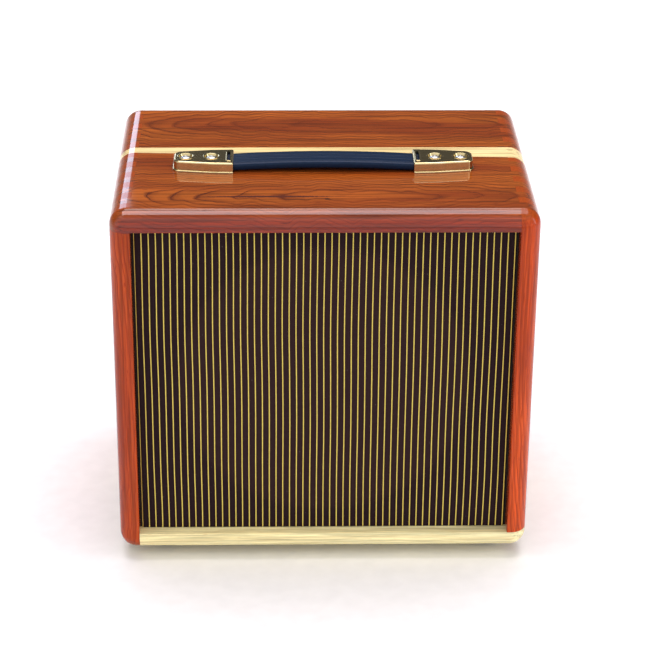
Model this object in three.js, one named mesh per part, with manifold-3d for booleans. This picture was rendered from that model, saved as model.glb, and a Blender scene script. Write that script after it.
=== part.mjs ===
// A small tube guitar amplifier in a finger-jointed cedar cabinet with a carrying strap.
// Millimetres, +Z up. The front faces -Y, and the origin is on the ground under the cabinet's middle.
import * as THREE from "three";
import { mergeVertices } from "three/addons/utils/BufferGeometryUtils.js";
import { RoundedBoxGeometry } from "three/addons/geometries/RoundedBoxGeometry.js";
import Module from "manifold-3d";

const wasm = await Module();
wasm.setup();

// ---------- driving dimensions ----------
const WIDTH = 387;
const DEPTH = 280;
const HEIGHT = 348; // cabinet alone, without feet and handle
const BOARD = 19;
const EDGE_ROUND = 16;
const FOOT_HEIGHT = 10;
const FINGERS = 22; // finger-joint slots along each corner
const GLUE = 0.05; // half the gap at a glued joint
const GAP = 0.3; // between separate pieces that touch

const STRIP_REAR = 23.5; // the pale strip's straight rear edge
const STRIP_WIDTH_LEFT = 12.8; // the strip widens from left to right
const STRIP_WIDTH_RIGHT = 26.7;

const HANDLE_Y = -25;
const CAP_HEIGHT = 10;
const CAP_INNER_X = 83.5;
const CAP_OUTER_X = 139;
const CAP_SCREWS_X = [104, 128];
const STRAP_WIDTH = 30;
const STRAP_THICK = 7;
const STRAP_RISE = 2.5; // the strap's bow at mid-span
const STRAP_REACH = 96; // how far each end runs under its cap
const GRIP_HALF = 56; // the stretch that lifts as one piece

const CLOTH_RECESS = 12;
const CLOTH_THICK = 0.8;
const BAFFLE_SIDE_GAP = 3; // room for the cloth that wraps round the baffle's edges
const BAFFLE_END_GAP = 1.2;
const BAFFLE_THICK = 12;
const SPEAKER_HOLE_R = 138;
const SPEAKER_RIM_R = 154;
const CLEAT = 18;

const CHASSIS_HEIGHT = 62;
const CHASSIS_FRONT_Y = 14;
const CHASSIS_REAR_Y = 114;
const SHEET = 1.5;
const CONTROLS_Z = 30; // above the chassis floor

const PANEL_HEIGHT = 112;
const PANEL_THICK = 9;
const PANEL_INSET = 6; // lower back panel, in from the cabinet's rear edge

// ---------- derived places ----------
const INNER_HALF = WIDTH / 2 - BOARD;
const FRONT = -DEPTH / 2;
const REAR = DEPTH / 2;
const TOP = FOOT_HEIGHT + HEIGHT;
const FLOOR_IN = FOOT_HEIGHT + BOARD;
const CEILING_IN = TOP - BOARD;
const CLOTH_FRONT = FRONT + CLOTH_RECESS;
const BAFFLE_FRONT = CLOTH_FRONT + CLOTH_THICK + GAP;
const BAFFLE_REAR = BAFFLE_FRONT + BAFFLE_THICK;
const SPEAKER_Z = FOOT_HEIGHT + HEIGHT / 2;
const CHASSIS_TOP = CEILING_IN - 2;
const CHASSIS_FLOOR = CHASSIS_TOP - CHASSIS_HEIGHT;
const FACE = CHASSIS_REAR_Y + GLUE * 2 + SHEET; // outer face of the control panel

// ---------- materials ----------
const material = (color, roughness, metalness = 0, extra = {}) =>
  new THREE.MeshStandardMaterial({ color, roughness, metalness, ...extra });
const CEDAR = material(0x9a4a26, 0.25);
const MAPLE = material(0xe9cf8e, 0.3);
const PLY = material(0x15120f, 0.8);
const PINE = material(0xc59a5c, 0.7);
const CLOTH = material(0x2f1a1f, 0.9);
const GOLD = material(0xd8c690, 0.15, 1);
const STEEL = material(0xb9bbbd, 0.35, 1);
const BLACK_STEEL = material(0x1b1c1e, 0.45, 0.6);
const STRAP_RUBBER = material(0x151c26, 0.45);
const FOOT_RUBBER = material(0x141414, 0.85);
const CONE_PAPER = material(0x2a2826, 0.95);
const FERRITE = material(0x25262a, 0.7);
const COPPER = material(0xb06a34, 0.35, 0.9);
const SPIDER_CLOTH = material(0xb9813a, 0.9);
const PANEL_METAL = material(0xc9ae6a, 0.3, 1);
const PHENOLIC = material(0x1c1512, 0.4);
const GLASS = material(0xcfd6d8, 0.05, 0, { transparent: true, opacity: 0.35 });
const JEWEL = material(0xc0161a, 0.1);

// ---------- shape helpers ----------
const solid = (geometry) => {
  const bare = geometry.clone();
  for (const name of Object.keys(bare.attributes)) if (name !== "position") bare.deleteAttribute(name);
  const merged = mergeVertices(bare, 1e-4);
  return new wasm.Manifold(
    new wasm.Mesh({
      numProp: 3,
      vertProperties: new Float32Array(merged.attributes.position.array),
      triVerts: new Uint32Array(merged.index.array),
    }),
  );
};

const geometryOf = (manifold) => {
  const mesh = manifold.getMesh();
  const geometry = new THREE.BufferGeometry();
  geometry.setAttribute("position", new THREE.BufferAttribute(new Float32Array(mesh.vertProperties), 3));
  geometry.setIndex(new THREE.BufferAttribute(new Uint32Array(mesh.triVerts), 1));
  geometry.computeVertexNormals();
  return geometry;
};

const combine = (operation) => (first, ...rest) =>
  geometryOf(rest.reduce((whole, next) => whole[operation](solid(next)), solid(first)));
const join = combine("add");
const cut = combine("subtract");
const common = combine("intersect");

const block = (x0, x1, y0, y1, z0, z1) =>
  new THREE.BoxGeometry(x1 - x0, y1 - y0, z1 - z0).translate((x0 + x1) / 2, (y0 + y1) / 2, (z0 + z1) / 2);

// A body of revolution about Y from [radius, y] points, turned so that it faces outwards.
const turnedY = (points, segments = 16) => {
  const area = points.reduce((sum, [r, y], i) => {
    const [r2, y2] = points[(i + 1) % points.length];
    return sum + r * y2 - r2 * y;
  }, 0);
  const onAxis = points[0][0] === 0 && points[points.length - 1][0] === 0;
  const loop = onAxis ? points : [...points, points[0]];
  const ordered = area > 0 ? loop : [...loop].reverse();
  return new THREE.LatheGeometry(
    ordered.map(([r, y]) => new THREE.Vector2(r, y)),
    segments,
  );
};
const turnedZ = (points, segments) => turnedY(points, segments).rotateX(Math.PI / 2);
const discY = (r, y0, y1, segments) => turnedY([[0, y0], [r, y0], [r, y1], [0, y1]], segments);
const discZ = (r, z0, z1, segments) => turnedZ([[0, z0], [r, z0], [r, z1], [0, z1]], segments);
const ringY = (r0, r1, y0, y1, segments) => turnedY([[r0, y0], [r1, y0], [r1, y1], [r0, y1]], segments);
const hexY = (acrossFlats, bore, y0, y1) =>
  cut(discY(acrossFlats / Math.sqrt(3), y0, y1, 6), discY(bore, y0 - 1, y1 + 1));

const outlineZ = (points, z0, z1) =>
  new THREE.ExtrudeGeometry(new THREE.Shape(points.map(([x, y]) => new THREE.Vector2(x, y))), {
    depth: z1 - z0,
    bevelEnabled: false,
  }).translate(0, 0, z0);

const roundedOutline = (w, h, r) => {
  const shape = new THREE.Shape();
  const corners = [[1, -1, -90], [1, 1, 0], [-1, 1, 90], [-1, -1, 180]];
  for (const [sx, sy, start] of corners) {
    const from = THREE.MathUtils.degToRad(start);
    shape.absarc(sx * (w / 2 - r), sy * (h / 2 - r), r, from, from + Math.PI / 2, false);
  }
  return shape;
};

const amplifier = new THREE.Group();
const add = (name, geometry, look, place = [0, 0, 0], parent = amplifier) => {
  const mesh = new THREE.Mesh(geometry, look);
  mesh.name = name;
  mesh.position.set(...place);
  parent.add(mesh);
  return mesh;
};

// ---------- cabinet ----------
const fingerDepth = DEPTH / FINGERS;
const stripFront = (x) => {
  const share = (x + WIDTH / 2) / WIDTH;
  return STRIP_REAR - (STRIP_WIDTH_LEFT + (STRIP_WIDTH_RIGHT - STRIP_WIDTH_LEFT) * share);
};

// The slots that a neighbouring board fills at one corner, as cutters.
const slots = (firstSlot, x0, x1, z0, z1) => {
  const cutters = [];
  for (let i = firstSlot; i < FINGERS; i += 2) {
    const y0 = i === 0 ? FRONT - 1 : FRONT + i * fingerDepth - GLUE;
    const y1 = i === FINGERS - 1 ? REAR + 1 : FRONT + (i + 1) * fingerDepth + GLUE;
    cutters.push(block(x0, x1, y0, y1, z0, z1));
  }
  return cutters;
};

const envelope = new RoundedBoxGeometry(WIDTH, DEPTH, HEIGHT, 2, EDGE_ROUND).translate(
  0,
  0,
  FOOT_HEIGHT + HEIGHT / 2,
);
const OUT = WIDTH / 2 + 1;
const IN = INNER_HALF - GLUE;
const topBand = [CEILING_IN - GLUE, TOP + 1];
const bottomBand = [FOOT_HEIGHT - 1, FLOOR_IN + GLUE];

const topBoard = cut(
  common(envelope, block(-OUT, OUT, FRONT - 1, REAR + 1, CEILING_IN, TOP + 1)),
  ...slots(1, -OUT, -IN, ...topBand),
  ...slots(0, IN, OUT, ...topBand),
);
const bottomBoard = cut(
  common(envelope, block(-OUT, OUT, FRONT - 1, REAR + 1, FOOT_HEIGHT - 1, FLOOR_IN)),
  ...slots(0, -OUT, -IN, ...bottomBand),
  ...slots(1, IN, OUT, ...bottomBand),
);
const leftBoard = cut(
  common(envelope, block(-OUT, -INNER_HALF, FRONT - 1, REAR + 1, FOOT_HEIGHT - 1, TOP + 1)),
  ...slots(0, -OUT, -INNER_HALF + 1, ...topBand),
  ...slots(1, -OUT, -INNER_HALF + 1, ...bottomBand),
);
const rightBoard = cut(
  common(envelope, block(INNER_HALF, OUT, FRONT - 1, REAR + 1, FOOT_HEIGHT - 1, TOP + 1)),
  ...slots(1, INNER_HALF - 1, OUT, ...topBand),
  ...slots(0, INNER_HALF - 1, OUT, ...bottomBand),
);

// Each cedar board is glued up from a front plank, the pale strip and a rear plank.
const zones = (frontLeft, frontRight) => {
  const z0 = FOOT_HEIGHT - 1;
  const z1 = TOP + 1;
  const line = (side) => [
    [-OUT, frontLeft + side * GLUE],
    [OUT, frontRight + side * GLUE],
  ];
  const [a, b] = line(-1);
  const [c, d] = line(1);
  const rearLow = STRIP_REAR - GLUE;
  return {
    front: outlineZ([[-OUT, FRONT - 1], [OUT, FRONT - 1], b, a], z0, z1),
    strip: outlineZ([c, d, [OUT, rearLow], [-OUT, rearLow]], z0, z1),
    rear: block(-OUT, OUT, STRIP_REAR + GLUE, REAR + 1, z0, z1),
  };
};
const glueUp = (label, board, frontLeft, frontRight, ...frontHoles) => {
  const { front, strip, rear } = zones(frontLeft, frontRight);
  const frontPlank = common(board, front);
  add(`${label}_front_plank`, frontHoles.length ? cut(frontPlank, ...frontHoles) : frontPlank, CEDAR);
  add(`${label}_inlay_strip`, common(board, strip), MAPLE);
  add(`${label}_rear_plank`, common(board, rear), CEDAR);
};

const SCREW_SHANK_R = 2;
const SCREW_DEPTH = 14;
const capScrewPlaces = [-1, 1].flatMap((side) => CAP_SCREWS_X.map((x) => side * x));
const screwHoles = capScrewPlaces.map((x) =>
  discZ(SCREW_SHANK_R + GAP, TOP - SCREW_DEPTH - GAP, TOP + 1, 12).translate(x, HANDLE_Y, 0),
);
glueUp("top", topBoard, stripFront(-WIDTH / 2), stripFront(WIDTH / 2), ...screwHoles);
glueUp("left", leftBoard, stripFront(-WIDTH / 2), stripFront(-WIDTH / 2));
glueUp("right", rightBoard, stripFront(WIDTH / 2), stripFront(WIDTH / 2));
add("bottom_board", bottomBoard, MAPLE);

// ---------- feet ----------
const FOOT_INSET_X = 38;
const FOOT_INSET_Y = 44;
const footShape = turnedZ([[0, 0], [15, 0], [17, 2], [19, FOOT_HEIGHT - GAP], [0, FOOT_HEIGHT - GAP]], 16);
for (const [row, sy] of [["front", -1], ["rear", 1]])
  for (const [side, sx] of [["left", -1], ["right", 1]])
    add(`foot_${row}_${side}`, footShape, FOOT_RUBBER, [
      sx * (WIDTH / 2 - FOOT_INSET_X),
      sy * (DEPTH / 2 - FOOT_INSET_Y),
      0,
    ]);

// ---------- carrying handle ----------
const handle = new THREE.Group();
handle.position.set(0, HANDLE_Y, TOP + GLUE * 2);
amplifier.add(handle);

// Outline of a cap from above, set in by the wall thickness for its hollow.
const capOutline = (wall) => {
  const shape = new THREE.Shape();
  const inner = wall ? CAP_INNER_X - 5 : CAP_INNER_X;
  const outer = CAP_OUTER_X - wall;
  const side = [[inner, 18.5 - wall], [104, 17.5 - wall], [outer - 4, 13 - wall], [outer, 8.5 - wall]];
  shape.moveTo(...side[0]);
  for (const [x, y] of side.slice(1)) shape.lineTo(x, y);
  for (const [x, y] of [...side].reverse()) shape.lineTo(x, -y);
  return shape;
};
const CAP_WALL = 1.6;
const CAP_BEVEL = 1.2;
const DIMPLE_R = 6.4;
const capBody = common(
  new THREE.ExtrudeGeometry(capOutline(0), {
    depth: CAP_HEIGHT - CAP_BEVEL + 5,
    bevelThickness: CAP_BEVEL,
    bevelSize: CAP_BEVEL,
    bevelOffset: -CAP_BEVEL,
    bevelSegments: 1,
  }).translate(0, 0, -5),
  block(70, 150, -30, 30, 0, 20),
);
const capHollow = new THREE.ExtrudeGeometry(capOutline(CAP_WALL), {
  depth: CAP_HEIGHT - CAP_WALL + 1,
  bevelEnabled: false,
}).translate(0, 0, -1);
const capBosses = CAP_SCREWS_X.map((x) => discZ(DIMPLE_R + 0.8, 0, CAP_HEIGHT - 1).translate(x, 0, 0));
const capDimples = CAP_SCREWS_X.map((x) =>
  turnedZ(
    [[0, -1], [SCREW_SHANK_R + GAP, -1], [SCREW_SHANK_R + GAP, 5.5], [DIMPLE_R, CAP_HEIGHT + 0.01],
      [DIMPLE_R, CAP_HEIGHT + 1], [0, CAP_HEIGHT + 1]],
  ).translate(x, 0, 0),
);
const capSlot = block(86.5, 89, -11, 11, CAP_HEIGHT - CAP_WALL - 1, CAP_HEIGHT + 1);
const capShape = cut(join(cut(capBody, capHollow), ...capBosses), ...capDimples, capSlot);
add("handle_cap_right", capShape, GOLD, [0, 0, 0], handle);
add("handle_cap_left", capShape, GOLD, [0, 0, 0], handle).rotation.z = Math.PI;

const bow = (x) => STRAP_RISE * Math.max(0, 1 - (x / CAP_INNER_X) ** 2);
const strapPiece = (x0, x1, steps) => {
  const geometry = new THREE.ExtrudeGeometry(roundedOutline(STRAP_WIDTH, STRAP_THICK, 3), {
    depth: x1 - x0,
    steps,
    bevelEnabled: false,
    curveSegments: 2,
  });
  geometry.rotateX(Math.PI / 2).rotateZ(Math.PI / 2).translate(x0, 0, STRAP_THICK / 2 + 0.8);
  const at = geometry.attributes.position;
  for (let i = 0; i < at.count; i++) at.setZ(i, at.getZ(i) + bow(at.getX(i)));
  geometry.computeVertexNormals();
  return geometry;
};
add("handle_strap_grip", strapPiece(-GRIP_HALF, GRIP_HALF, 6), STRAP_RUBBER, [0, 0, 0], handle);
add("handle_strap_end_left", strapPiece(-STRAP_REACH, -GRIP_HALF - GAP, 2), STRAP_RUBBER, [0, 0, 0], handle);
add("handle_strap_end_right", strapPiece(GRIP_HALF + GAP, STRAP_REACH, 2), STRAP_RUBBER, [0, 0, 0], handle);

const SCREW_HEAD_R = 5.2;
const screwShape = turnedZ(
  [[0, -SCREW_DEPTH], [SCREW_SHANK_R, -SCREW_DEPTH + 3], [SCREW_SHANK_R, 6.2], [SCREW_HEAD_R, 9.3],
    [SCREW_HEAD_R * 0.6, 10.1], [0, 10.4]],
  12,
);
capScrewPlaces.forEach((x, i) => add(`handle_screw_${i + 1}`, screwShape, STEEL, [x, 0, 0], handle));

// ---------- baffle and grille ----------
const baffleHalf = INNER_HALF - BAFFLE_SIDE_GAP;
const baffleLow = FLOOR_IN + BAFFLE_END_GAP;
const baffleHigh = CEILING_IN - BAFFLE_END_GAP;
add(
  "baffle_board",
  cut(
    block(-baffleHalf, baffleHalf, BAFFLE_FRONT, BAFFLE_REAR, baffleLow, baffleHigh),
    discY(SPEAKER_HOLE_R, BAFFLE_FRONT - 1, BAFFLE_REAR + 1, 48).translate(0, 0, SPEAKER_Z),
  ),
  PLY,
);
add(
  "grille_cloth",
  block(-baffleHalf - CLOTH_THICK, baffleHalf + CLOTH_THICK, CLOTH_FRONT, CLOTH_FRONT + CLOTH_THICK,
    baffleLow - CLOTH_THICK, baffleHigh + CLOTH_THICK),
  CLOTH,
);
for (const [side, sx] of [["left", -1], ["right", 1]]) {
  const outer = INNER_HALF - GLUE * 2;
  const [x0, x1] = sx < 0 ? [-outer, -outer + CLEAT] : [outer - CLEAT, outer];
  const rear = BAFFLE_REAR + GAP + CLEAT;
  add(`baffle_cleat_${side}`, block(x0, x1, BAFFLE_REAR + GAP, rear, baffleLow + 20, baffleHigh - 20), PINE);
}

// ---------- loudspeaker, its axis along +Y from the baffle's rear ----------
const speaker = new THREE.Group();
speaker.position.set(0, BAFFLE_REAR + GAP, SPEAKER_Z);
amplifier.add(speaker);

const ROUND = 24; // sides of the large turned parts
const SEAT_Y = 56; // rear face of the basket, where the magnet bolts on
const CORE_R = 22; // voice coil
const coneInside = CORE_R + 1.6;
const basketProfile = [
  [142, 0], [SPEAKER_RIM_R, 0], [SPEAKER_RIM_R, 2.5], [144, 3.5], [132, 24], [84, 40], [66, SEAT_Y],
  [29, SEAT_Y], [29, SEAT_Y - 2], [62, SEAT_Y - 2], [80, 37.5], [129, 21.5],
];
const windows = [0, 1, 2, 3].map((quarter) => {
  const half = THREE.MathUtils.degToRad(32);
  const near = 76;
  const far = 127;
  const corners = [[near, -half], [far, -half], [far, 0], [far, half], [near, half], [near, 0]];
  const shape = new THREE.Shape(
    corners.map(([r, angle]) => new THREE.Vector2(r * Math.cos(angle), r * Math.sin(angle))),
  );
  return new THREE.ExtrudeGeometry(shape, { depth: 60, bevelEnabled: false })
    .rotateX(Math.PI / 2)
    .translate(0, 70, 0)
    .rotateY((quarter * Math.PI) / 2 + Math.PI / 4);
});
const addSpeaker = (name, geometry, look) => add(name, geometry, look, [0, 0, 0], speaker);
addSpeaker("speaker_basket", cut(turnedY(basketProfile, ROUND), ...windows), BLACK_STEEL);
const surroundFront = [[127.5, 1.8], [131, 0.4], [135, 1.8], [139.8, 0.8]];
const surroundRear = [...surroundFront].reverse().map(([r, y]) => [r, y + 1.2]);
addSpeaker("speaker_surround", turnedY([...surroundFront, ...surroundRear], ROUND), CONE_PAPER);
const coneRear = [[127, 3], [95, 15.5], [60, 27.5], [coneInside, 37]];
const coneFront = [...coneRear].reverse().map(([r, y]) => [r, y - 1.3]);
addSpeaker("speaker_cone", turnedY([...coneRear, ...coneFront], ROUND), CONE_PAPER);
const capFront = [[0, 18.5], [14, 20], [26, 24.5], [35.4, 32.1]];
const capRear = [[34, 32.6], [25, 25.8], [13.5, 21.2], [0, 19.7]];
addSpeaker("speaker_dust_cap", turnedY([...capFront, ...capRear], 16), CONE_PAPER);
addSpeaker("voice_coil", ringY(CORE_R - 0.5, CORE_R + 0.8, 32, SEAT_Y + 6, ROUND), COPPER);
addSpeaker("speaker_spider", ringY(CORE_R + 1.8, 58, 43, 44, ROUND), SPIDER_CLOTH);
const PLATE_Y = SEAT_Y + GAP;
addSpeaker("speaker_top_plate", ringY(CORE_R + 1.8, 55, PLATE_Y, PLATE_Y + 7, ROUND), STEEL);
const MAGNET_Y = PLATE_Y + 7 + GAP;
addSpeaker("speaker_magnet", ringY(34, 68, MAGNET_Y, MAGNET_Y + 18, ROUND), FERRITE);
const YOKE_Y = MAGNET_Y + 18 + GAP;
const POLE_R = CORE_R - 1.5;
addSpeaker(
  "speaker_yoke",
  turnedY([[6, PLATE_Y + 1], [POLE_R, PLATE_Y + 1], [POLE_R, YOKE_Y], [55, YOKE_Y], [55, YOKE_Y + 6],
    [6, YOKE_Y + 6]], ROUND),
  STEEL,
);

// ---------- chassis, control panel and what is fixed to them ----------
// [x, radius of the round hole through the rear wall]
const CONTROLS = {
  input: [150, 5],
  volume: [108, 5],
  tone: [64, 5],
  lamp: [22, 7],
  power: [-16, 6.2],
  fuse: [-54, 6.6],
  output: [-90, 5],
};
const INLET_X = -137;
const INLET_HALF_W = 14.5;
const INLET_HALF_H = 11;
const controlsZ = CHASSIS_FLOOR + CONTROLS_Z;
const wallHoles = [
  ...Object.values(CONTROLS).map(([x, r]) =>
    discY(r + GAP, CHASSIS_REAR_Y - 5, FACE + 5).translate(x, 0, controlsZ),
  ),
  block(INLET_X - INLET_HALF_W - GAP, INLET_X + INLET_HALF_W + GAP, CHASSIS_REAR_Y - 5, FACE + 5,
    controlsZ - INLET_HALF_H - GAP, controlsZ + INLET_HALF_H + GAP),
];
const chassisHalf = INNER_HALF - GAP;
// [name, x, y, socket radius] of each tube, hanging under the chassis floor
const TUBES = [
  ["preamp", 118, 60, 10],
  ["power", 72, 60, 16],
  ["rectifier", -36, 60, 16],
];
const floorHoles = TUBES.map(([, x, y, r]) =>
  discZ(r + GAP, CHASSIS_FLOOR - 1, CHASSIS_FLOOR + 5).translate(x, y, 0),
);
add(
  "chassis",
  cut(
    block(-chassisHalf, chassisHalf, CHASSIS_FRONT_Y, CHASSIS_REAR_Y, CHASSIS_FLOOR, CHASSIS_TOP),
    block(-chassisHalf + SHEET, chassisHalf - SHEET, CHASSIS_FRONT_Y + SHEET, CHASSIS_REAR_Y - SHEET,
      CHASSIS_FLOOR + SHEET, CHASSIS_TOP + 1),
    ...wallHoles,
    ...floorHoles,
  ),
  STEEL,
);
add(
  "control_panel",
  cut(
    block(-chassisHalf, chassisHalf, CHASSIS_REAR_Y + GLUE * 2, FACE, CHASSIS_FLOOR, CHASSIS_TOP),
    ...wallHoles,
  ),
  PANEL_METAL,
);

// Laminated core between two end frames, with its winding through the middle.
const transformer = (w, d, h, winding) =>
  join(
    block(-w / 2, w / 2, -d / 4, d / 4, -h, 0),
    block(-w / 2 + winding, w / 2 - winding, -d / 2, d / 2, -h + winding, -winding),
    block(-w / 2 - 6, w / 2 + 6, -d / 4, d / 4, -2, 0),
  );
const underChassis = CHASSIS_FLOOR - GAP;
add("power_transformer", transformer(74, 64, 62, 11), BLACK_STEEL, [-112, 62, underChassis]);
add("output_transformer", transformer(52, 44, 42, 8), BLACK_STEEL, [17, 62, underChassis]);

const controls = new THREE.Group();
controls.position.set(0, FACE, controlsZ);
amplifier.add(controls);
const place = (name) => [CONTROLS[name][0], 0, 0];
const WALL = SHEET * 2 + GLUE * 2; // panel and chassis wall together
const INSIDE = -WALL - GAP;

// A quarter-inch socket: nut and bushing outside, sleeve and contact frame inside.
const jackShape = cut(
  join(discY(4.7, -20, 4.5), hexY(13, 4, GAP, 2.8), block(-9, 9, -34, INSIDE, -10, 10)),
  discY(3.3, -36, 6),
);
add("input_jack", jackShape, STEEL, place("input"), controls);
add("speaker_jack", jackShape, STEEL, place("output"), controls);

// A potentiometer: can and bushing stay, the knob turns with the shaft.
const SHAFT_R = 3;
const potShape = cut(
  join(discY(11.5, -16, INSIDE), discY(4.7, -8, 6), hexY(12, 4, GAP, 2.6)),
  discY(SHAFT_R + GAP, -12, 7),
);
const KNOB_FRONT = 8;
const knobPointer = [[-5, -10], [5, -10], [4.5, 6], [1.2, 17], [-1.2, 17], [-4.5, 6]];
const knobShape = join(
  discY(SHAFT_R, -10, KNOB_FRONT + 2),
  turnedY(
    [[0, KNOB_FRONT], [12, KNOB_FRONT], [12, KNOB_FRONT + 3], [9.5, KNOB_FRONT + 9], [0, KNOB_FRONT + 9]],
  ),
  new THREE.ExtrudeGeometry(
    new THREE.Shape(knobPointer.map(([x, y]) => new THREE.Vector2(x, y))),
    { depth: 13, bevelEnabled: false },
  )
    .rotateX(Math.PI / 2)
    .translate(0, KNOB_FRONT + 16, 0),
);
for (const name of ["volume", "tone"]) {
  add(`${name}_pot`, potShape, STEEL, place(name), controls);
  add(`${name}_knob`, knobShape, PHENOLIC, place(name), controls);
}

// The power switch: its bat pivots inside the bushing and rests low, at off.
const LEVER_REST = THREE.MathUtils.degToRad(-12);
const LEVER_PIVOT_Y = 2;
add(
  "power_switch_body",
  cut(
    join(discY(5.9, -8, 8), hexY(14, 4, GAP, 2.8), block(-7, 7, -26, INSIDE, -14, 14)),
    turnedY([[0, -4], [3.8, -4], [3.8, 4], [5.2, 9], [0, 9]]),
  ),
  STEEL,
  place("power"),
  controls,
);
const lever = add(
  "power_switch_lever",
  turnedY([[0, -3.2], [2.2, -3.2], [3.1, 0], [1.6, 3.5], [2.9, 19], [2, 21], [0, 21.6]], 12),
  STEEL,
  [CONTROLS.power[0], LEVER_PIVOT_Y, 0],
  controls,
);
lever.rotation.x = LEVER_REST;

// A fuse holder with a bayonet cap that turns to let the fuse out.
add(
  "fuse_holder",
  cut(
    join(discY(6.4, -36, 1), ringY(6, 8.6, GAP, 2.6)),
    discY(4.9, -34, 6),
  ),
  PHENOLIC,
  place("fuse"),
  controls,
);
add(
  "fuse_cap",
  cut(
    join(discY(4.4, -30, 4), turnedY([[0, 3], [7.2, 3], [7.2, 9], [6.2, 11], [0, 11]])),
    block(-0.8, 0.8, 9, 12, -8, 8),
  ),
  PHENOLIC,
  place("fuse"),
  controls,
);

// The pilot lamp: holder, bezel and jewel.
add(
  "pilot_lamp",
  join(discY(6.6, -28, 1), turnedY([[0, GAP], [9.5, GAP], [9.5, 3], [7.5, 5], [7, 8], [4, 10.5], [0, 11.5]])),
  JEWEL,
  place("lamp"),
  controls,
);

// The mains inlet: flange, body and three pins standing back from the mouth.
const inletBody = cut(
  join(
    block(-INLET_HALF_W, INLET_HALF_W, -24, 1, -INLET_HALF_H, INLET_HALF_H),
    new THREE.ExtrudeGeometry(roundedOutline(50, 26, 6), { depth: 3, bevelEnabled: false, curveSegments: 4 })
      .rotateX(Math.PI / 2)
      .translate(0, GAP + 3, 0),
  ),
  block(-12, 12, -18, 5, -8, 8),
);
const pins = [[-7, -2], [0, 2], [7, -2]].map(([x, z]) => block(x - 1, x + 1, -19, -5, z - 2, z + 2));
add("mains_inlet", join(inletBody, ...pins), PHENOLIC, [INLET_X, 0, 0], controls);

// ---------- tubes, hanging from their sockets ----------
const SOCKET_DROP = 4;
const BASE_TOP = -SOCKET_DROP - GAP;
const KEY_R = 3.9; // the spigot that guides an octal base into its socket
// Outline of a tube with an eight-pin base: key, base, then the glass bulb down to its round end.
const octalTube = (r, length) => [
  [0, -length], [r * 0.5, -length + 1.5], [r * 0.86, -length + 6], [r, -length + 13], [r, -36], [15.5, -26],
  [15.5, BASE_TOP], [KEY_R, BASE_TOP], [KEY_R, 6], [0, 6],
];
const tubeProfiles = {
  preamp: [[0, -54], [1.5, -53], [3, -50], [8, -48.5], [11, -45], [11, BASE_TOP], [0, BASE_TOP]],
  power: octalTube(16.5, 82),
  rectifier: octalTube(18, 92),
};
for (const [name, x, y, r] of TUBES) {
  const tube = new THREE.Group();
  tube.position.set(x, y, CHASSIS_FLOOR);
  amplifier.add(tube);
  const shell = join(discZ(r, -SOCKET_DROP, 8), discZ(r + 4, -SOCKET_DROP, -GAP));
  add(`${name}_socket`, cut(shell, discZ(KEY_R + GAP, -SOCKET_DROP - 1, 9, 12)), PHENOLIC, [0, 0, 0], tube);
  add(`${name}_tube`, turnedZ(tubeProfiles[name]), GLASS, [0, 0, 0], tube);
}

// ---------- lower back panel ----------
const panelRear = REAR - PANEL_INSET;
const panelLow = FLOOR_IN + 0.5;
add(
  "lower_back_panel",
  block(-chassisHalf, chassisHalf, panelRear - PANEL_THICK, panelRear, panelLow, panelLow + PANEL_HEIGHT),
  CEDAR,
);
const battenRear = panelRear - PANEL_THICK - GLUE * 2;
add(
  "back_panel_batten",
  block(-chassisHalf + 10, chassisHalf - 10, battenRear - CLEAT, battenRear,
    FLOOR_IN + GLUE * 2, FLOOR_IN + CLEAT),
  PINE,
);

export default amplifier;
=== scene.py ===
import math

import bmesh
import bpy
from mathutils import Matrix, Vector, noise


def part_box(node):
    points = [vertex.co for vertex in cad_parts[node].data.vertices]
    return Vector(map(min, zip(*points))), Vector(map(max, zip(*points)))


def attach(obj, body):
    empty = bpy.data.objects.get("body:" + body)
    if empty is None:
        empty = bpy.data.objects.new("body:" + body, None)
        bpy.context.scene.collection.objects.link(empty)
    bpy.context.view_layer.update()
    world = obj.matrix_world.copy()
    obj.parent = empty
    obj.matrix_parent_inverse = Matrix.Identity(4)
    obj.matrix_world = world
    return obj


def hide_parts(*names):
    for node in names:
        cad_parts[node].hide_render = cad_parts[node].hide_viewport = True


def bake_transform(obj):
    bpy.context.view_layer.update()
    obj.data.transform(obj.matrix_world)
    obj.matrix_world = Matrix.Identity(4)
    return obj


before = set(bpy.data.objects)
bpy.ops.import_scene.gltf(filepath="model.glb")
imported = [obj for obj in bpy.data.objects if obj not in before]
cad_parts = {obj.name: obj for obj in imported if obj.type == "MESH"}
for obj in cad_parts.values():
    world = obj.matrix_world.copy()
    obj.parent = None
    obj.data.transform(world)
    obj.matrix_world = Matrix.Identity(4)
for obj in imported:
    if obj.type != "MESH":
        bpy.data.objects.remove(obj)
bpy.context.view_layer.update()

CABINET = "cabinet"
MM = 0.001

# ---------- places, from the frame ----------


def corners(*nodes):
    """The lowest and highest corner of several nodes together."""
    boxes = [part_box(node) for node in nodes]
    low = Vector([min(b[0][i] for b in boxes) for i in range(3)])
    high = Vector([max(b[1][i] for b in boxes) for i in range(3)])
    return low, high


def middle(node):
    low, high = corners(node)
    return (low + high) / 2


BOARDS = [f"{side}_{part}" for side in ("top", "left", "right") for part in ("front_plank", "inlay_strip",
                                                                             "rear_plank")]
LOW, HIGH = corners(*BOARDS, "bottom_board")
BOARD = corners("top_front_plank")[1].z - corners("top_front_plank")[0].z
INNER = HIGH.x - BOARD
FLOOR = LOW.z + BOARD
CEILING = HIGH.z - BOARD
FRONT, REAR = LOW.y, HIGH.y
EDGE_ROUND = 16 * MM
GLUE = 0.05 * MM
FINGERS = 22

# ---------- camera and studio ----------


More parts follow.
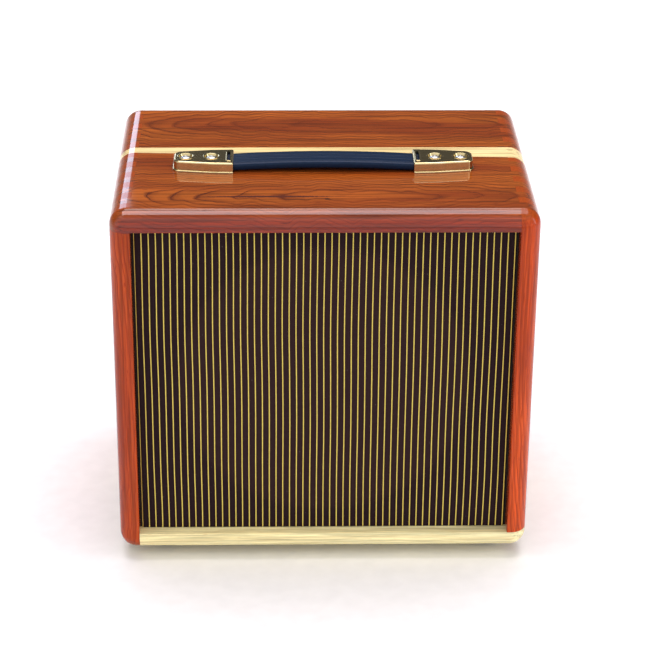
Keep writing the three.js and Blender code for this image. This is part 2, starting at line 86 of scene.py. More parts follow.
def add_camera():
    """Looks down on the front of the cabinet from a little left of its middle."""
    data = bpy.data.cameras.new("camera")
    camera = bpy.data.objects.new("camera", data)
    bpy.context.scene.collection.objects.link(camera)
    pitch, yaw, roll = (math.radians(a) for a in (25.584, 1.464, 0.450))
    forward = Vector((math.sin(yaw) * math.cos(pitch), math.cos(yaw) * math.cos(pitch), -math.sin(pitch)))
    level = Vector((math.cos(yaw), -math.sin(yaw), 0))
    upright = level.cross(forward)
    right = level * math.cos(roll) + upright * math.sin(roll)
    up = upright * math.cos(roll) - level * math.sin(roll)
    turn = Matrix((right, up, -forward)).transposed().to_4x4()
    camera.matrix_world = Matrix.Translation((-0.04633, -1.94971, 1.11545)) @ turn
    data.sensor_width = 36
    data.lens = 122.5
    bpy.context.scene.camera = camera


def add_light(name, size, place, target, watts, colour=(1, 1, 1)):
    data = bpy.data.lights.new(name, "AREA")
    data.shape = "RECTANGLE"
    data.size, data.size_y = size
    data.energy = watts
    data.color = colour
    light = bpy.data.objects.new(name, data)
    bpy.context.scene.collection.objects.link(light)
    light.location = place
    light.rotation_euler = (Vector(target) - Vector(place)).to_track_quat("-Z", "Y").to_euler()
    return light


def sky_ramp(tree, height, stops):
    """Brightness of the studio's walls by height, as a colour socket."""
    ramp = tree.nodes.new("ShaderNodeValToRGB")
    tree.links.new(height, ramp.inputs["Fac"])
    elements = ramp.color_ramp.elements
    while len(elements) < len(stops):
        elements.new(0.5)
    for element, (position, grey) in zip(elements, stops):
        element.position = position
        element.color = (grey, grey * 0.985, grey * 0.97, 1)
    return ramp.outputs["Color"]


def add_studio():
    world = bpy.data.worlds.new("studio")
    bpy.context.scene.world = world
    world.use_nodes = True
    tree = world.node_tree
    direction = tree.nodes.new("ShaderNodeTexCoord")
    split = tree.nodes.new("ShaderNodeSeparateXYZ")
    tree.links.new(direction.outputs["Generated"], split.inputs[0])
    behind = sky_ramp(tree, split.outputs["Z"], ((0.0, 0.5), (0.08, 0.24), (0.30, 0.09), (0.52, 0.12),
                                                 (0.8, 0.35)))
    ahead = sky_ramp(tree, split.outputs["Z"], ((0.0, 1.5), (0.15, 1.4), (0.30, 1.1), (0.55, 1.1),
                                                (0.8, 1.5), (0.98, 0.3)))
    turn = tree.nodes.new("ShaderNodeMapRange")
    turn.interpolation_type = "SMOOTHSTEP"
    tree.links.new(split.outputs["Y"], turn.inputs["Value"])
    turn.inputs["From Min"].default_value = 0.15
    turn.inputs["From Max"].default_value = -0.35
    blend = tree.nodes.new("ShaderNodeMix")
    blend.data_type = "RGBA"
    tree.links.new(turn.outputs["Result"], blend.inputs[0])
    tree.links.new(behind, blend.inputs[6])
    tree.links.new(ahead, blend.inputs[7])
    background = tree.nodes["Background"]
    tree.links.new(blend.outputs[2], background.inputs["Color"])
    background.inputs["Strength"].default_value = 1.0
    middle_of_it = (0, 0, 0.2)
    add_light("overhead_softbox", (2.4, 1.4), (0.0, 0.25, 2.6), middle_of_it, 60, (1.0, 0.92, 0.98))
    add_light("left_softbox", (0.90, 0.7), (-0.88, 2.65, 1.34), (-0.15, 0.0, 0.36), 8.5, (0.66, 0.78, 1.0))
    add_light("left_glow", (0.06, 0.7), (-0.40, 2.65, 1.34), (-0.15, 0.0, 0.36), 0.22, (0.72, 0.82, 1.0))
    add_light("right_strip", (0.6, 1.6), (2.6, -0.6, 1.0), middle_of_it, 10, (1.0, 0.97, 0.94))
    add_light("rear_fill", (2.4, 1.0), (0.3, 2.3, 3.4), middle_of_it, 26)


def add_floor():
    bm = bmesh.new()
    bmesh.ops.create_grid(bm, x_segments=1, y_segments=1, size=9)
    mesh = bpy.data.meshes.new("floor")
    bm.to_mesh(mesh)
    bm.free()
    floor = bpy.data.objects.new("floor", mesh)
    bpy.context.scene.collection.objects.link(floor)
    shader = Shader("pale_floor", roughness=0.9)
    speckle = shader.noise(shader.place(), 60, 2)
    shader.colour(shader.ramp(speckle, [(0.0, (0.86, 0.86, 0.86)), (1.0, (0.93, 0.93, 0.93))]))
    mesh.materials.append(shader.material)


# ---------- materials ----------


class Value:
    """What a node gives out, with arithmetic that adds math nodes."""

    def __init__(self, shader, socket):
        self.shader, self.socket = shader, socket

    def __add__(self, other):
        return self.shader.math("ADD", self, other)

    def __sub__(self, other):
        return self.shader.math("SUBTRACT", self, other)

    def __mul__(self, other):
        return self.shader.math("MULTIPLY", self, other)

    def __truediv__(self, other):
        return self.shader.math("DIVIDE", self, other)

    def __abs__(self):
        return self.shader.math("ABSOLUTE", self)


class Shader:
    """A material's node tree, with short names for the nodes that the materials share."""

    def __init__(self, name, roughness=0.5, metallic=0.0, coat=0.0, ior=1.5):
        self.material = bpy.data.materials.new(name)
        self.material.use_nodes = True
        self.tree = self.material.node_tree
        self.bsdf = self.tree.nodes["Principled BSDF"]
        self.set("Roughness", roughness)
        self.set("Metallic", metallic)
        self.set("Coat Weight", coat)
        self.set("Coat Roughness", 0.05)
        self.set("IOR", ior)

    def set(self, socket, value):
        self.bsdf.inputs[socket].default_value = value

    def feed(self, target, value):
        """Links a socket to a node's output, or sets it to a constant."""
        if isinstance(value, Value):
            self.tree.links.new(value.socket, target)
        elif isinstance(value, (tuple, Vector)) and len(value) == 3 and target.type == "RGBA":
            target.default_value = (*value, 1)
        else:
            target.default_value = value

    def node(self, kind, out=0, inputs=(), **settings):
        made = self.tree.nodes.new(kind)
        for key, value in settings.items():
            setattr(made, key, value)
        for key, value in dict(inputs).items():
            self.feed(made.inputs[key], value)
        return Value(self, made.outputs[out])

    def place(self):
        return self.node("ShaderNodeTexCoord", "Object")

    def uv(self):
        return self.node("ShaderNodeTexCoord", "UV")

    def math(self, operation, *values):
        return self.node("ShaderNodeMath", 0, enumerate(values), operation=operation)

    def split(self, vector):
        made = self.tree.nodes.new("ShaderNodeSeparateXYZ")
        self.feed(made.inputs[0], vector)
        return [Value(self, output) for output in made.outputs]

    def join(self, x, y, z):
        return self.node("ShaderNodeCombineXYZ", 0, {0: x, 1: y, 2: z})

    def scaled(self, vector, scale, offset=(0, 0, 0)):
        return self.node("ShaderNodeMapping", 0, {"Vector": vector, "Scale": scale, "Location": offset})

    def noise(self, vector, scale, detail=3.0, rough=0.5):
        settings = {"Vector": vector, "Scale": scale, "Detail": detail, "Roughness": rough}
        return self.node("ShaderNodeTexNoise", 0, settings)

    def cells(self, vector, scale):
        return self.node("ShaderNodeTexVoronoi", 0, {"Vector": vector, "Scale": scale})

    def ramp(self, factor, stops, smooth=True):
        made = self.tree.nodes.new("ShaderNodeValToRGB")
        self.feed(made.inputs["Fac"], factor)
        ramp = made.color_ramp
        ramp.interpolation = "EASE" if smooth else "LINEAR"
        while len(ramp.elements) < len(stops):
            ramp.elements.new(0.5)
        for element, (position, colour) in zip(ramp.elements, sorted(stops)):
            element.position = position
            element.color = (*colour, 1) if isinstance(colour, tuple) else (colour, colour, colour, 1)
        return Value(self, made.outputs["Color"])

    def mix(self, factor, first, second, blend="MIX"):
        made = self.tree.nodes.new("ShaderNodeMix")
        made.data_type = "RGBA"
        made.blend_type = blend
        self.feed(made.inputs[0], factor)
        self.feed(made.inputs[6], first)
        self.feed(made.inputs[7], second)
        return Value(self, made.outputs[2])

    def colour(self, value):
        self.feed(self.bsdf.inputs["Base Color"], value)

    def recolour(self, factor, colour, blend="MIX"):
        """Mixes another colour over what the base colour already is."""
        old = Value(self, self.bsdf.inputs["Base Color"].links[0].from_socket)
        self.colour(self.mix(factor, old, colour, blend))

    def distance(self, a, b):
        return self.math("SQRT", a * a + b * b)

    def rough(self, factor, low, high):
        self.feed(self.bsdf.inputs["Roughness"], self.ramp(factor, [(0.25, low), (0.75, high)]))

    def bump(self, height, depth, strength=1.0):
        settings = {"Height": height, "Distance": depth, "Strength": strength}
        self.feed(self.bsdf.inputs["Normal"], self.node("ShaderNodeBump", 0, settings))


def grain(shader, axis, pith, lift, curve, spacing, seed):
    """Growth rings round a bowed pith line, with fibres, patches, streaks and pores. Distances are in metres.

    axis is the grain's direction, pith the (along, across) point where the rings come nearest to the face,
    lift how far the pith lies behind it, and curve how fast it bows away along the grain.
    """
    x, y, z = shader.split(shader.place())
    along, across, deep = (x, y, z) if axis == "x" else (z, y, x)
    spot = shader.join(along, across, deep)

    def pattern(scale, offset, detail, rough):
        return shader.noise(shader.scaled(spot, scale, offset), 1.0, detail, rough)

    wander = shader.scaled(shader.join(along * 5.0, across, deep), (1, 1, 1), (seed, seed * 1.7, 0))
    sway = (shader.noise(wander, 6.0, 2, 0.5) - 0.5) * 0.028
    ripple = (pattern((10, 60, 60), (seed, 0, 0), 3, 0.6) - 0.5) * 0.0024
    from_tip = along - pith[0]
    below = from_tip * from_tip * curve + lift[0] + deep * lift[1]
    radius = shader.distance(across - pith[1] + sway, below) + ripple
    uneven = shader.noise(shader.join(radius, seed, 0.0), 150.0, 1, 0.5)
    ring = shader.math("FRACT", radius / spacing + uneven * 1.6)
    fibres = pattern((22, 900, 900), (seed, 0, 0), 3, 0.65)
    patches = pattern((4, 26, 26), (seed * 3, 0, 0), 3, 0.55)
    streaks = pattern((7, 260, 260), (seed, 0, seed), 4, 0.6)
    pores = pattern((70, 620, 620), (0, seed, 0), 2, 0.5)
    return ring, fibres, patches, streaks, pores


def wood(name, axis, pith, lift, curve, spacing, seed, colours, contrast=1.0, coat_ior=1.5, end_axis="x",
         end=True):
    """A lacquered board: rings, fibres, colour patches and a thin clear coat over all.

    colours are the light wood, the dark wood and the rings. end_axis is the way that cut finger ends face.
    """
    light, dark, vein = colours
    shader = Shader(name, coat=1.0)
    shader.set("Specular IOR Level", 0.0)
    shader.set("Coat IOR", coat_ior)
    ring, fibres, patches, streaks, pores = grain(shader, axis, pith, lift, curve, spacing, seed)
    line = shader.ramp(ring, [(0.0, 0.55), (0.08, 0.05), (0.45, 0.10), (0.78, 0.38), (0.93, 0.9),
                              (1.0, 0.55)])
    base = shader.mix(shader.ramp(patches, [(0.32, 0.0), (0.68, 1.0)]), light, dark)
    fine = shader.ramp(fibres, [(0.30, 0.72), (0.62, 1.09)])
    base = shader.mix(1.0, base, fine, "MULTIPLY")
    base = shader.mix(1.0, base, shader.ramp(streaks, [(0.34, 0.60), (0.56, 1.0), (0.75, 1.16)]), "MULTIPLY")
    base = shader.mix(line * shader.ramp(patches, [(0.30, contrast), (0.70, contrast * 0.5)]), base, vein)
    shader.colour(shader.mix(shader.ramp(pores, [(0.64, 0.0), (0.74, 0.75)]), base, vein))
    if end:
        normal = shader.split(shader.node("ShaderNodeNewGeometry", "Normal"))["xyz".index(end_axis)]
        on_end = shader.ramp(abs(normal), [(0.30, 0.0), (0.75, 0.85)])
        shader.recolour(on_end, shader.mix(1.0, CEDAR_END, fine, "MULTIPLY"))
    shader.rough(fibres, 0.34, 0.52)
    shader.bump(fibres * 0.5 - line * 0.5, 0.00012, 0.5)
    return shader


CEDAR = ((0.395, 0.096, 0.012), (0.215, 0.038, 0.006), (0.070, 0.010, 0.003))
CEDAR_END = (0.27, 0.052, 0.008)  # the fingers' cut ends, close in tone to the board beside them
RED_CEDAR = ((0.70, 0.096, 0.012), (0.46, 0.048, 0.006), (0.24, 0.020, 0.003))
DEEP_CEDAR = ((0.50, 0.070, 0.010), (0.34, 0.036, 0.005), (0.24, 0.020, 0.003))
MAPLE = ((0.86, 0.70, 0.35), (0.78, 0.60, 0.27), (0.60, 0.40, 0.16))
PALE_MAPLE = ((0.97, 0.90, 0.52), (0.94, 0.82, 0.43), (0.76, 0.56, 0.25))


def knot_in(shader, centre, size, colour):
    """Darkens a small tight knot, with a short streak beside it, into a board's colour."""
    x, y, _ = shader.split(shader.place())
    blur = shader.noise(shader.place(), 420, 3, 0.6) * 0.7
    away = shader.distance((x - centre[0]) / size[0], (y - centre[1]) / size[1])
    shader.recolour(shader.ramp(away + (blur - 0.35), [(0.45, 1.0), (1.0, 0.0)]), colour)


def redden_front(shader):
    """Darkens the green and blue of a board's forward face: painted shade that offsets the white floor's
    reflection in its coat, so that the face looks as red as the side boards beside it.
    """
    normal = shader.split(shader.node("ShaderNodeNewGeometry", "Normal"))[1]
    shader.recolour(shader.ramp(normal * -1.0, [(0.5, 0.0), (0.95, 1.0)]), (1.0, 0.42, 0.45), "MULTIPLY")


# node: grain direction, pith, lift, curve, ring spacing, seed, colours, and what differs from a cedar board
BOARD_WOODS = {
    "top_front_plank": ("x", (0.03, -0.098), (0.386, -1.0), 0.50, 0.0038, 3.1, CEDAR, {}),
    "top_rear_plank": ("x", (0.045, 0.086), (0.388, -1.0), 0.45, 0.0045, 8.4, CEDAR, {}),
    "left_front_plank": ("z", (0.12, -0.16), (0.28, 1.0), 0.25, 0.0034, 5.2, DEEP_CEDAR, {"coat_ior": 1.3}),
    "left_rear_plank": ("z", (0.2, 0.08), (0.24, 1.0), 0.7, 0.0055, 2.7, RED_CEDAR, {}),
    "right_front_plank": ("z", (0.25, -0.155), (0.29, -1.0), 0.3, 0.0034, 9.9, RED_CEDAR, {"coat_ior": 1.3}),
    "right_rear_plank": ("z", (0.15, 0.09), (0.25, -1.0), 0.8, 0.0055, 6.3, RED_CEDAR, {}),
    "top_inlay_strip": ("x", (0.4, -0.2), (0.40, -1.0), 0.02, 0.0042, 1.3, MAPLE,
                        {"end": False, "contrast": 0.35}),
    "left_inlay_strip": ("z", (0.4, -0.2), (0.25, 1.0), 0.02, 0.0042, 4.4, MAPLE,
                         {"end": False, "contrast": 0.35}),
    "right_inlay_strip": ("z", (0.4, -0.2), (0.25, -1.0), 0.02, 0.0042, 7.2, MAPLE,
                          {"end": False, "contrast": 0.35}),
    "bottom_board": ("x", (0.05, -0.17), (0.06, 1.0), 0.10, 0.0060, 5.9, PALE_MAPLE,
                     {"end": False, "contrast": 0.45}),
}


def board_materials():
    """The wood of each plank, by node."""
    finishes = {}
    for node, (axis, *figure, changes) in BOARD_WOODS.items():
        finishes[node] = wood(f"{node}_wood", axis, *figure, end_axis=axis, **changes)
    top_front = finishes["top_front_plank"]
    knot_in(top_front, (0.0021, -0.1056), (0.0030, 0.0022), (0.020, 0.008, 0.006))
    knot_in(top_front, (-0.050, -0.0995), (0.075, 0.0030), (0.085, 0.018, 0.010))
    # Painted shade on the forward face of the top front plank.
    redden_front(top_front)
    return finishes


# ---------- mesh helpers ----------


def softened(points, radius, steps=4, closed=True):
    """The outline with each corner replaced by a curve of about this radius."""
    out = []
    count = len(points)
    for i, point in enumerate(points):
        if not closed and i in (0, count - 1):
            out.append(tuple(point))
            continue
        here = Vector(point)
        ends = []
        for other in (Vector(points[i - 1]), Vector(points[(i + 1) % count])):
            way = other - here
            ends.append(here + way.normalized() * min(radius, way.length * 0.46))
        for k in range(steps + 1):
            t = k / steps
            out.append(tuple(ends[0] * (1 - t) ** 2 + here * (2 * t * (1 - t)) + ends[1] * t * t))
    return out


TURN = {"x": lambda r, c, s, t: (t, r * c, r * s), "y": lambda r, c, s, t: (r * c, t, r * s),
        "z": lambda r, c, s, t: (r * c, r * s, t)}


def lathe(bm, profile, centre=(0, 0, 0), axis="z", sides=64):
    """Turns (radius, distance along the axis) points into one closed body."""
    centre = Vector(centre)
    rings = []
    for radius, t in profile:
        if radius < 1e-7:
            rings.append([bm.verts.new(centre + Vector(TURN[axis](0, 0, 0, t)))])
            continue
        angles = [2 * math.pi * k / sides for k in range(sides)]
        rings.append([bm.verts.new(centre + Vector(TURN[axis](radius, math.cos(a), math.sin(a),
                                                              t))) for a in angles])
    pairs = list(zip(rings, rings[1:]))
    if len(rings[0]) > 1:
        pairs.append((rings[-1], rings[0]))
    for first, second in pairs:
        for k in range(sides):
            n = (k + 1) % sides
            loop = [first[k % len(first)], first[n % len(first)], second[n % len(second)],
                    second[k % len(second)]]
            unique = list(dict.fromkeys(loop))
            if len(unique) > 2:
                bm.faces.new(unique)


def bevel_edges(bm, edges, width, steps):
    bmesh.ops.bevel(bm, geom=edges, offset=width, segments=steps, profile=0.5, affect="EDGES",
                    clamp_overlap=True)


def prism(bm, outline, axis, start, end, bevel=0.0, steps=3):
    """Extrudes a closed outline along an axis, with its two rims bevelled."""
    bm = bm or bmesh.new()
    lift = {"x": lambda a, b, t: (t, a, b), "y": lambda a, b, t: (a, t, b), "z": lambda a, b,
            t: (a, b, t)}[axis]
    caps = [[bm.verts.new(lift(a, b, t)) for a, b in outline] for t in (start, end)]
    faces = [bm.faces.new(caps[0]), bm.faces.new(caps[1])]
    count = len(outline)
    for k in range(count):
        n = (k + 1) % count
        faces.append(bm.faces.new([caps[0][k], caps[0][n], caps[1][n], caps[1][k]]))
    bmesh.ops.recalc_face_normals(bm, faces=faces)
    if bevel:
        bevel_edges(bm, [e for face in faces[:2] for e in face.edges], bevel, steps)
    return bm


def slab(bm, low, high, bevel=0.0, steps=3):
    """A box with every edge bevelled."""
    bm = bm or bmesh.new()
    low, high = Vector(low), Vector(high)
    made = bmesh.ops.create_cube(bm, size=1)["verts"]
    for vert in made:
        vert.co = Vector([low[i] + (high[i] - low[i]) * (vert.co[i] + 0.5) for i in range(3)])
    if bevel:
        bevel_edges(bm, list({e for vert in made for e in vert.link_edges}), bevel, steps)
    return bm


def loft(bm, rings):
    """Joins rings of vertices into one body with flat ends."""
    bm.faces.new(rings[0])
    bm.faces.new(rings[-1])
    count = len(rings[0])
    for first, second in zip(rings, rings[1:]):
        for k in range(count):
            n = (k + 1) % count
            bm.faces.new([first[k], first[n], second[n], second[k]])


def tube(bm, points, radius, sides=10):
    """A round wire along a smooth line of points, with flat ends."""
    rings = []
    for i, point in enumerate(points):
        ahead = Vector(points[min(i + 1, len(points) - 1)]) - Vector(points[max(i - 1, 0)])
        ahead.normalize()
        side = ahead.orthogonal() if i == 0 else (side - ahead * side.dot(ahead))
        side.normalize()
        other = ahead.cross(side)
        angles = [2 * math.pi * k / sides for k in range(sides)]
        rings.append([bm.verts.new(Vector(point) + (side * math.cos(a) + other * math.sin(a)) * radius) for a in angles])
    loft(bm, rings)


def link(name, mesh):
    piece = bpy.data.objects.new(name, mesh)
    bpy.context.scene.collection.objects.link(piece)
    return piece


def raw(name, bm):
    """An object of a finished bmesh, with its faces turned outwards."""
    bmesh.ops.recalc_face_normals(bm, faces=bm.faces)
    mesh = bpy.data.meshes.new(name)
    bm.to_mesh(mesh)
    bm.free()
    return link(name, mesh)


def boolean(piece, cutter, operation="DIFFERENCE"):
    """Applies one exact boolean to a piece's mesh."""
    step = piece.modifiers.new("cut", "BOOLEAN")
    step.operation = operation
    step.object = cutter
    step.solver = "EXACT"
    bake(piece)


def drop(piece):
    mesh = piece.data
    bpy.data.objects.remove(piece)
    bpy.data.meshes.remove(mesh)


def cut_with(piece, bm, operation="DIFFERENCE"):
    cutter = raw("cutter", bm)
    boolean(piece, cutter, operation)
    drop(cutter)


def bake(piece):
    """Applies a piece's modifiers to its mesh."""
    graph = bpy.context.evaluated_depsgraph_get()
    applied = bpy.data.meshes.new_from_object(piece.evaluated_get(graph), preserve_all_data_layers=True,
                                              depsgraph=graph)
    piece.modifiers.clear()
    old = piece.data
    piece.data = applied
    bpy.data.meshes.remove(old)


def weigh_normals(mesh):
    """Lets the larger faces round each vertex set its normal, so that flat faces beside a bevel stay flat."""
    bm = bmesh.new()
    bm.from_mesh(mesh)
    normals = [None] * len(mesh.loops)
    for vert in bm.verts:
        left = set(vert.link_faces)
        while left:
            group = [left.pop()]
            for face in group:
                for edge in face.edges:
                    if edge.smooth and vert in edge.verts:
                        joined = [other for other in edge.link_faces if other in left]
                        group += joined
                        left.difference_update(joined)
            normal = sum((face.normal * face.calc_area() for face in group), Vector())
            for face in group:
                for loop in face.loops:
                    if loop.vert is vert:
                        normals[loop.index] = tuple(normal.normalized())
    bm.free()
    mesh.normals_split_custom_set(normals)


def settle(piece, material, body=CABINET, nodes=(), sharp=32, slot=None):
    """Gives a piece its material, its shading, its body and the nodes it stands for."""
    piece.data.materials.clear()
    piece.data.materials.append(material)
    for face in piece.data.polygons:
        face.use_smooth = True
    piece.data.set_sharp_from_angle(angle=math.radians(sharp))
    if len(piece.data.polygons) < 20000:
        weigh_normals(piece.data)
    name = material.name.split(".")[0]
    if body:
        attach(piece, body)
    if nodes:
        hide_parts(*nodes)
    return piece


# ---------- cabinet ----------


def finger_slots(bm, first, x0, x1, z0, z1):
    """Boxes where the neighbouring board's fingers go, every second slot along one corner."""
    width = (REAR - FRONT) / FINGERS
    for i in range(first, FINGERS, 2):
        y0 = FRONT - MM if i == 0 else FRONT + i * width - GLUE
        y1 = REAR + MM if i == FINGERS - 1 else FRONT + (i + 1) * width + GLUE
        slab(bm, (x0, y0, z0), (x1, y1, z1))


def eased_edge(bm, axis, along, corner, into):
    """A cutter that rounds one straight inner edge of a board. into points from the edge into the wood."""
    reach = 1.6 * MM
    steps = 5
    over = -0.5 * MM
    outline = [(over, over), (reach, over)]
    for k in range(steps + 1):
        angle = math.pi / 2 * k / steps
        outline.append((reach - reach * math.sin(angle), reach - reach * math.cos(angle)))
    outline.append((over, reach))
    outline = list(dict.fromkeys(outline))
    placed = [(corner[0] + a * into[0], corner[1] + b * into[1]) for a, b in outline]
    prism(bm, placed, axis, *along)


def envelope_normal(point):
    low = LOW + Vector((EDGE_ROUND,) * 3)
    high = HIGH - Vector((EDGE_ROUND,) * 3)
    core = Vector([min(max(point[i], low[i]), high[i]) for i in range(3)])
    away = point - core
    on_it = abs(away.length - EDGE_ROUND) < 8e-5
    return away.normalized() if on_it else None


def shade_board(piece):
    """Sets the true normal of the rounded cabinet on its outside, and flat normals on cut faces."""
    mesh = piece.data
    normals = []
    for face in mesh.polygons:
        face.use_smooth = True
        flat = face.normal.copy()
        for index in face.vertices:
            true = envelope_normal(mesh.vertices[index].co)
            normals.append(true if true and true.dot(flat) > 0.93 else flat)
    mesh.normals_split_custom_set([tuple(n) for n in normals])


def build_boards():
    bm = slab(None, LOW, HIGH, EDGE_ROUND, 14)
    envelope = raw("envelope", bm)
    out = HIGH.x + MM
    wall = INNER - GLUE
    top_band = (CEILING - GLUE, HIGH.z + MM)
    low_band = (LOW.z - MM, FLOOR + GLUE)
    y0, y1 = FRONT - MM, REAR + MM
    z0, z1 = LOW.z - MM, HIGH.z + MM
    across = (-INNER, INNER)
    upright = (FLOOR, CEILING)
    # name: its box, the finger slots (first slot, x range, z range), and the inner edge to ease
    plans = {
        "top": (((-out, y0, CEILING), (out, y1, z1)),
                [(1, -out, -wall, *top_band), (0, wall, out, *top_band)],
                [("x", across, (face, CEILING), (sign, 1)) for face, sign in ((FRONT, 1), (REAR, -1))]),
        "bottom": (((-out, y0, z0), (out, y1, FLOOR)),
                   [(0, -out, -wall, *low_band), (1, wall, out, *low_band)],
                   [("x", across, (face, FLOOR), (sign, -1)) for face, sign in ((FRONT, 1), (REAR, -1))]),
        "left": (((-out, y0, z0), (-INNER, y1, z1)),
                 [(0, -out, -INNER + MM, *top_band), (1, -out, -INNER + MM, *low_band)],
                 [("z", upright, (-INNER, face), (-1, sign)) for face, sign in ((FRONT, 1), (REAR, -1))]),
        "right": (((INNER, y0, z0), (out, y1, z1)),
                  [(1, INNER - MM, out, *top_band), (0, INNER - MM, out, *low_band)],
                  [("z", upright, (INNER, face), (1, sign)) for face, sign in ((FRONT, 1), (REAR, -1))]),
    }
    finishes = board_materials()
    for name, (box, slots, edges) in plans.items():
        board = link(name, envelope.data.copy())
        bm = slab(None, *box)
        cut_with(board, bm, "INTERSECT")
        for shape, cuts in ((finger_slots, slots), (eased_edge, edges)):
            for plan in cuts:
                bm = bmesh.new()
                shape(bm, *plan)
                cut_with(board, bm)
        if name == "bottom":
            finish_plank(board, "bottom_board", finishes)
            continue
        strip_low, strip_high = corners(f"{name}_inlay_strip")
        rear_edge = strip_high.y
        ahead_left, ahead_right = strip_edges(name)
        zones = {
            "front_plank": [(-out, y0), (out, y0), (out, ahead_right - GLUE), (-out, ahead_left - GLUE)],
            "inlay_strip": [(-out, ahead_left + GLUE), (out, ahead_right + GLUE), (out, rear_edge),
                            (-out, rear_edge)],
            "rear_plank": [(-out, rear_edge + 2 * GLUE), (out, rear_edge + 2 * GLUE), (out, y1), (-out, y1)],
        }
        for part, outline in zones.items():
            plank = link(f"{name}_{part}_piece", board.data.copy())
            bm = prism(None, outline, "z", z0, z1)
            cut_with(plank, bm, "INTERSECT")
            finish_plank(plank, f"{name}_{part}", finishes)
        drop(board)
    drop(envelope)


def strip_edges(name):
    """Where the pale strip's front edge lies on the cabinet's left and right, in Y."""
    left = corners("left_inlay_strip")[0].y - GLUE
    right = corners("right_inlay_strip")[0].y - GLUE
    return {"top": (left, right), "left": (left, left), "right": (right, right)}[name]


def finish_plank(plank, node, finishes):
    plank.name = f"{node}_wood"
    plank.data.materials.clear()
    plank.data.materials.append(finishes[node].material)
    shade_board(plank)
    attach(plank, CABINET)
    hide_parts(node)


# ---------- general materials ----------


def surface(name, first, second, scale, rough, metallic=0.0, depth=0.0, stretch=(1, 1, 1), ior=1.5):
    """A finish that wanders between two colours, with matching roughness and fine relief."""
    shader = Shader(name, metallic=metallic, ior=ior)
    place = shader.scaled(shader.place(), stretch)
    pattern = shader.noise(place, scale, 4, 0.6)
    fine = shader.noise(place, scale * 7, 3, 0.6)
    shader.colour(shader.ramp(pattern, [(0.32, first), (0.68, second)]))
    shader.rough(fine, *rough)
    if depth:
        shader.bump(fine, depth)
    return shader.material


def ply_material():
    """Black-stained plywood, with its veneers showing where it is cut through."""
    shader = Shader("ply")
    place = shader.place()
    layer = shader.math("FRACT", shader.split(place)[1] / VENEER)
    shade = shader.ramp(layer, [(0.0, (0.030, 0.022, 0.016)), (0.45, (0.050, 0.036, 0.024)),
                                (0.5, (0.014, 0.011, 0.009)), (1.0, (0.022, 0.017, 0.013))])
    dust = shader.noise(shader.scaled(place, (40, 1, 220)), 4, 4, 0.6)
    shader.colour(shader.mix(shader.ramp(dust, [(0.55, 0.0), (0.8, 0.25)]), shade, (0.07, 0.055, 0.04)))
    shader.rough(dust, 0.6, 0.85)
    shader.bump(dust, 0.0002)
    return shader.material


VENEER = 1.5 * MM
STRIPE = 6.35 * MM
FIRST_STRIPE = -171.9 * MM


def cloth_material():
    """Oxblood rib weave with a gold thread every quarter inch. U runs across the stripes, in metres."""
    shader = Shader("grille_weave")
    u, v, _ = shader.split(shader.uv())

    def wave(length, shift=None):
        phase = v * (2 * math.pi / length)
        return shader.math("SINE", phase + shift if shift else phase)

    off = abs(shader.math("FRACT", (u - FIRST_STRIPE) / STRIPE + 0.5) - 0.5)
    gold = shader.ramp(off, [(0.055, 1.0), (0.088, 0.0)], smooth=False)
    beads = wave(1.35 * MM)
    twist = wave(1.35 * MM, u * (2 * math.pi / (1.3 * MM)))
    weft = wave(0.9 * MM)
    flat = shader.join(u, v, 0.0)
    mottled = shader.noise(flat, 260, 3, 0.7)
    thread = shader.ramp(twist, [(0.0, (0.66, 0.47, 0.075)), (0.55, (1.0, 0.86, 0.22))])
    thread = shader.mix(shader.ramp(mottled, [(0.40, 0.0), (0.75, 0.35)]), thread, (0.55, 0.36, 0.12))
    ribs = shader.ramp(off, [(0.10, 0.0), (0.20, 0.9), (0.30, 0.25), (0.34, 0.35), (0.42, 1.0), (0.5, 0.1)])
    dark = shader.mix(ribs, (0.0085, 0.0042, 0.0055), (0.034, 0.0155, 0.0200))
    dark = shader.mix(shader.ramp(weft, [(0.0, 0.45), (0.8, 0.0)]), dark, (0.007, 0.0035, 0.0045))
    # Painted light: the cloth is a slightly warmer, lighter disc over the hole in the baffle, as if light
    # showed through it there.
    x, _, z = shader.split(shader.place())
    hole_glow_mask = shader.ramp(shader.distance(x, z - (LOW.z + HIGH.z) / 2), [(0.130, 0.30), (0.139, 0.0)])
    dark = shader.mix(hole_glow_mask, dark, (0.046, 0.021, 0.020))
    lint = shader.ramp(shader.cells(flat, 90), [(0.018, 0.55), (0.045, 0.0)])
    shader.colour(shader.mix(lint, shader.mix(gold, dark, thread), (0.20, 0.17, 0.15)))
    shader.rough(mottled, 0.62, 0.95)
    shader.bump(beads * (gold * 0.6) + weft * 0.25 + mottled * 0.5, 0.00022)
    shader.set("Specular IOR Level", 0.06)
    return shader.material


def glass_material():
    shader = Shader("tube_glass", roughness=0.02)
    smoke = shader.noise(shader.place(), 30, 2)
    shader.colour(shader.ramp(smoke, [(0.3, (0.93, 0.95, 0.96)), (0.7, (0.98, 0.99, 1.0))]))
    shader.set("Transmission Weight", 1.0)
    shader.set("IOR", 1.15)
    return shader.material


def jewel_material():
    shader = Shader("jewel", roughness=0.05, coat=1.0)
    facets = shader.cells(shader.place(), 700)
    shader.colour(shader.ramp(facets, [(0.0, (0.62, 0.015, 0.012)), (0.8, (0.34, 0.005, 0.006))]))
    shader.set("Transmission Weight", 0.4)
    return shader.material


def cone_material():
    """Pressed paper: felted fibres and rings left by the mould."""
    shader = Shader("cone_paper", roughness=0.9)
    place = shader.place()
    felt = shader.noise(place, 380, 5, 0.75)
    shader.colour(shader.ramp(felt, [(0.3, (0.018, 0.016, 0.015)), (0.7, (0.048, 0.043, 0.040))]))
    shader.rough(felt, 0.8, 0.98)
    shader.bump(felt, 0.0004)
    return shader.material
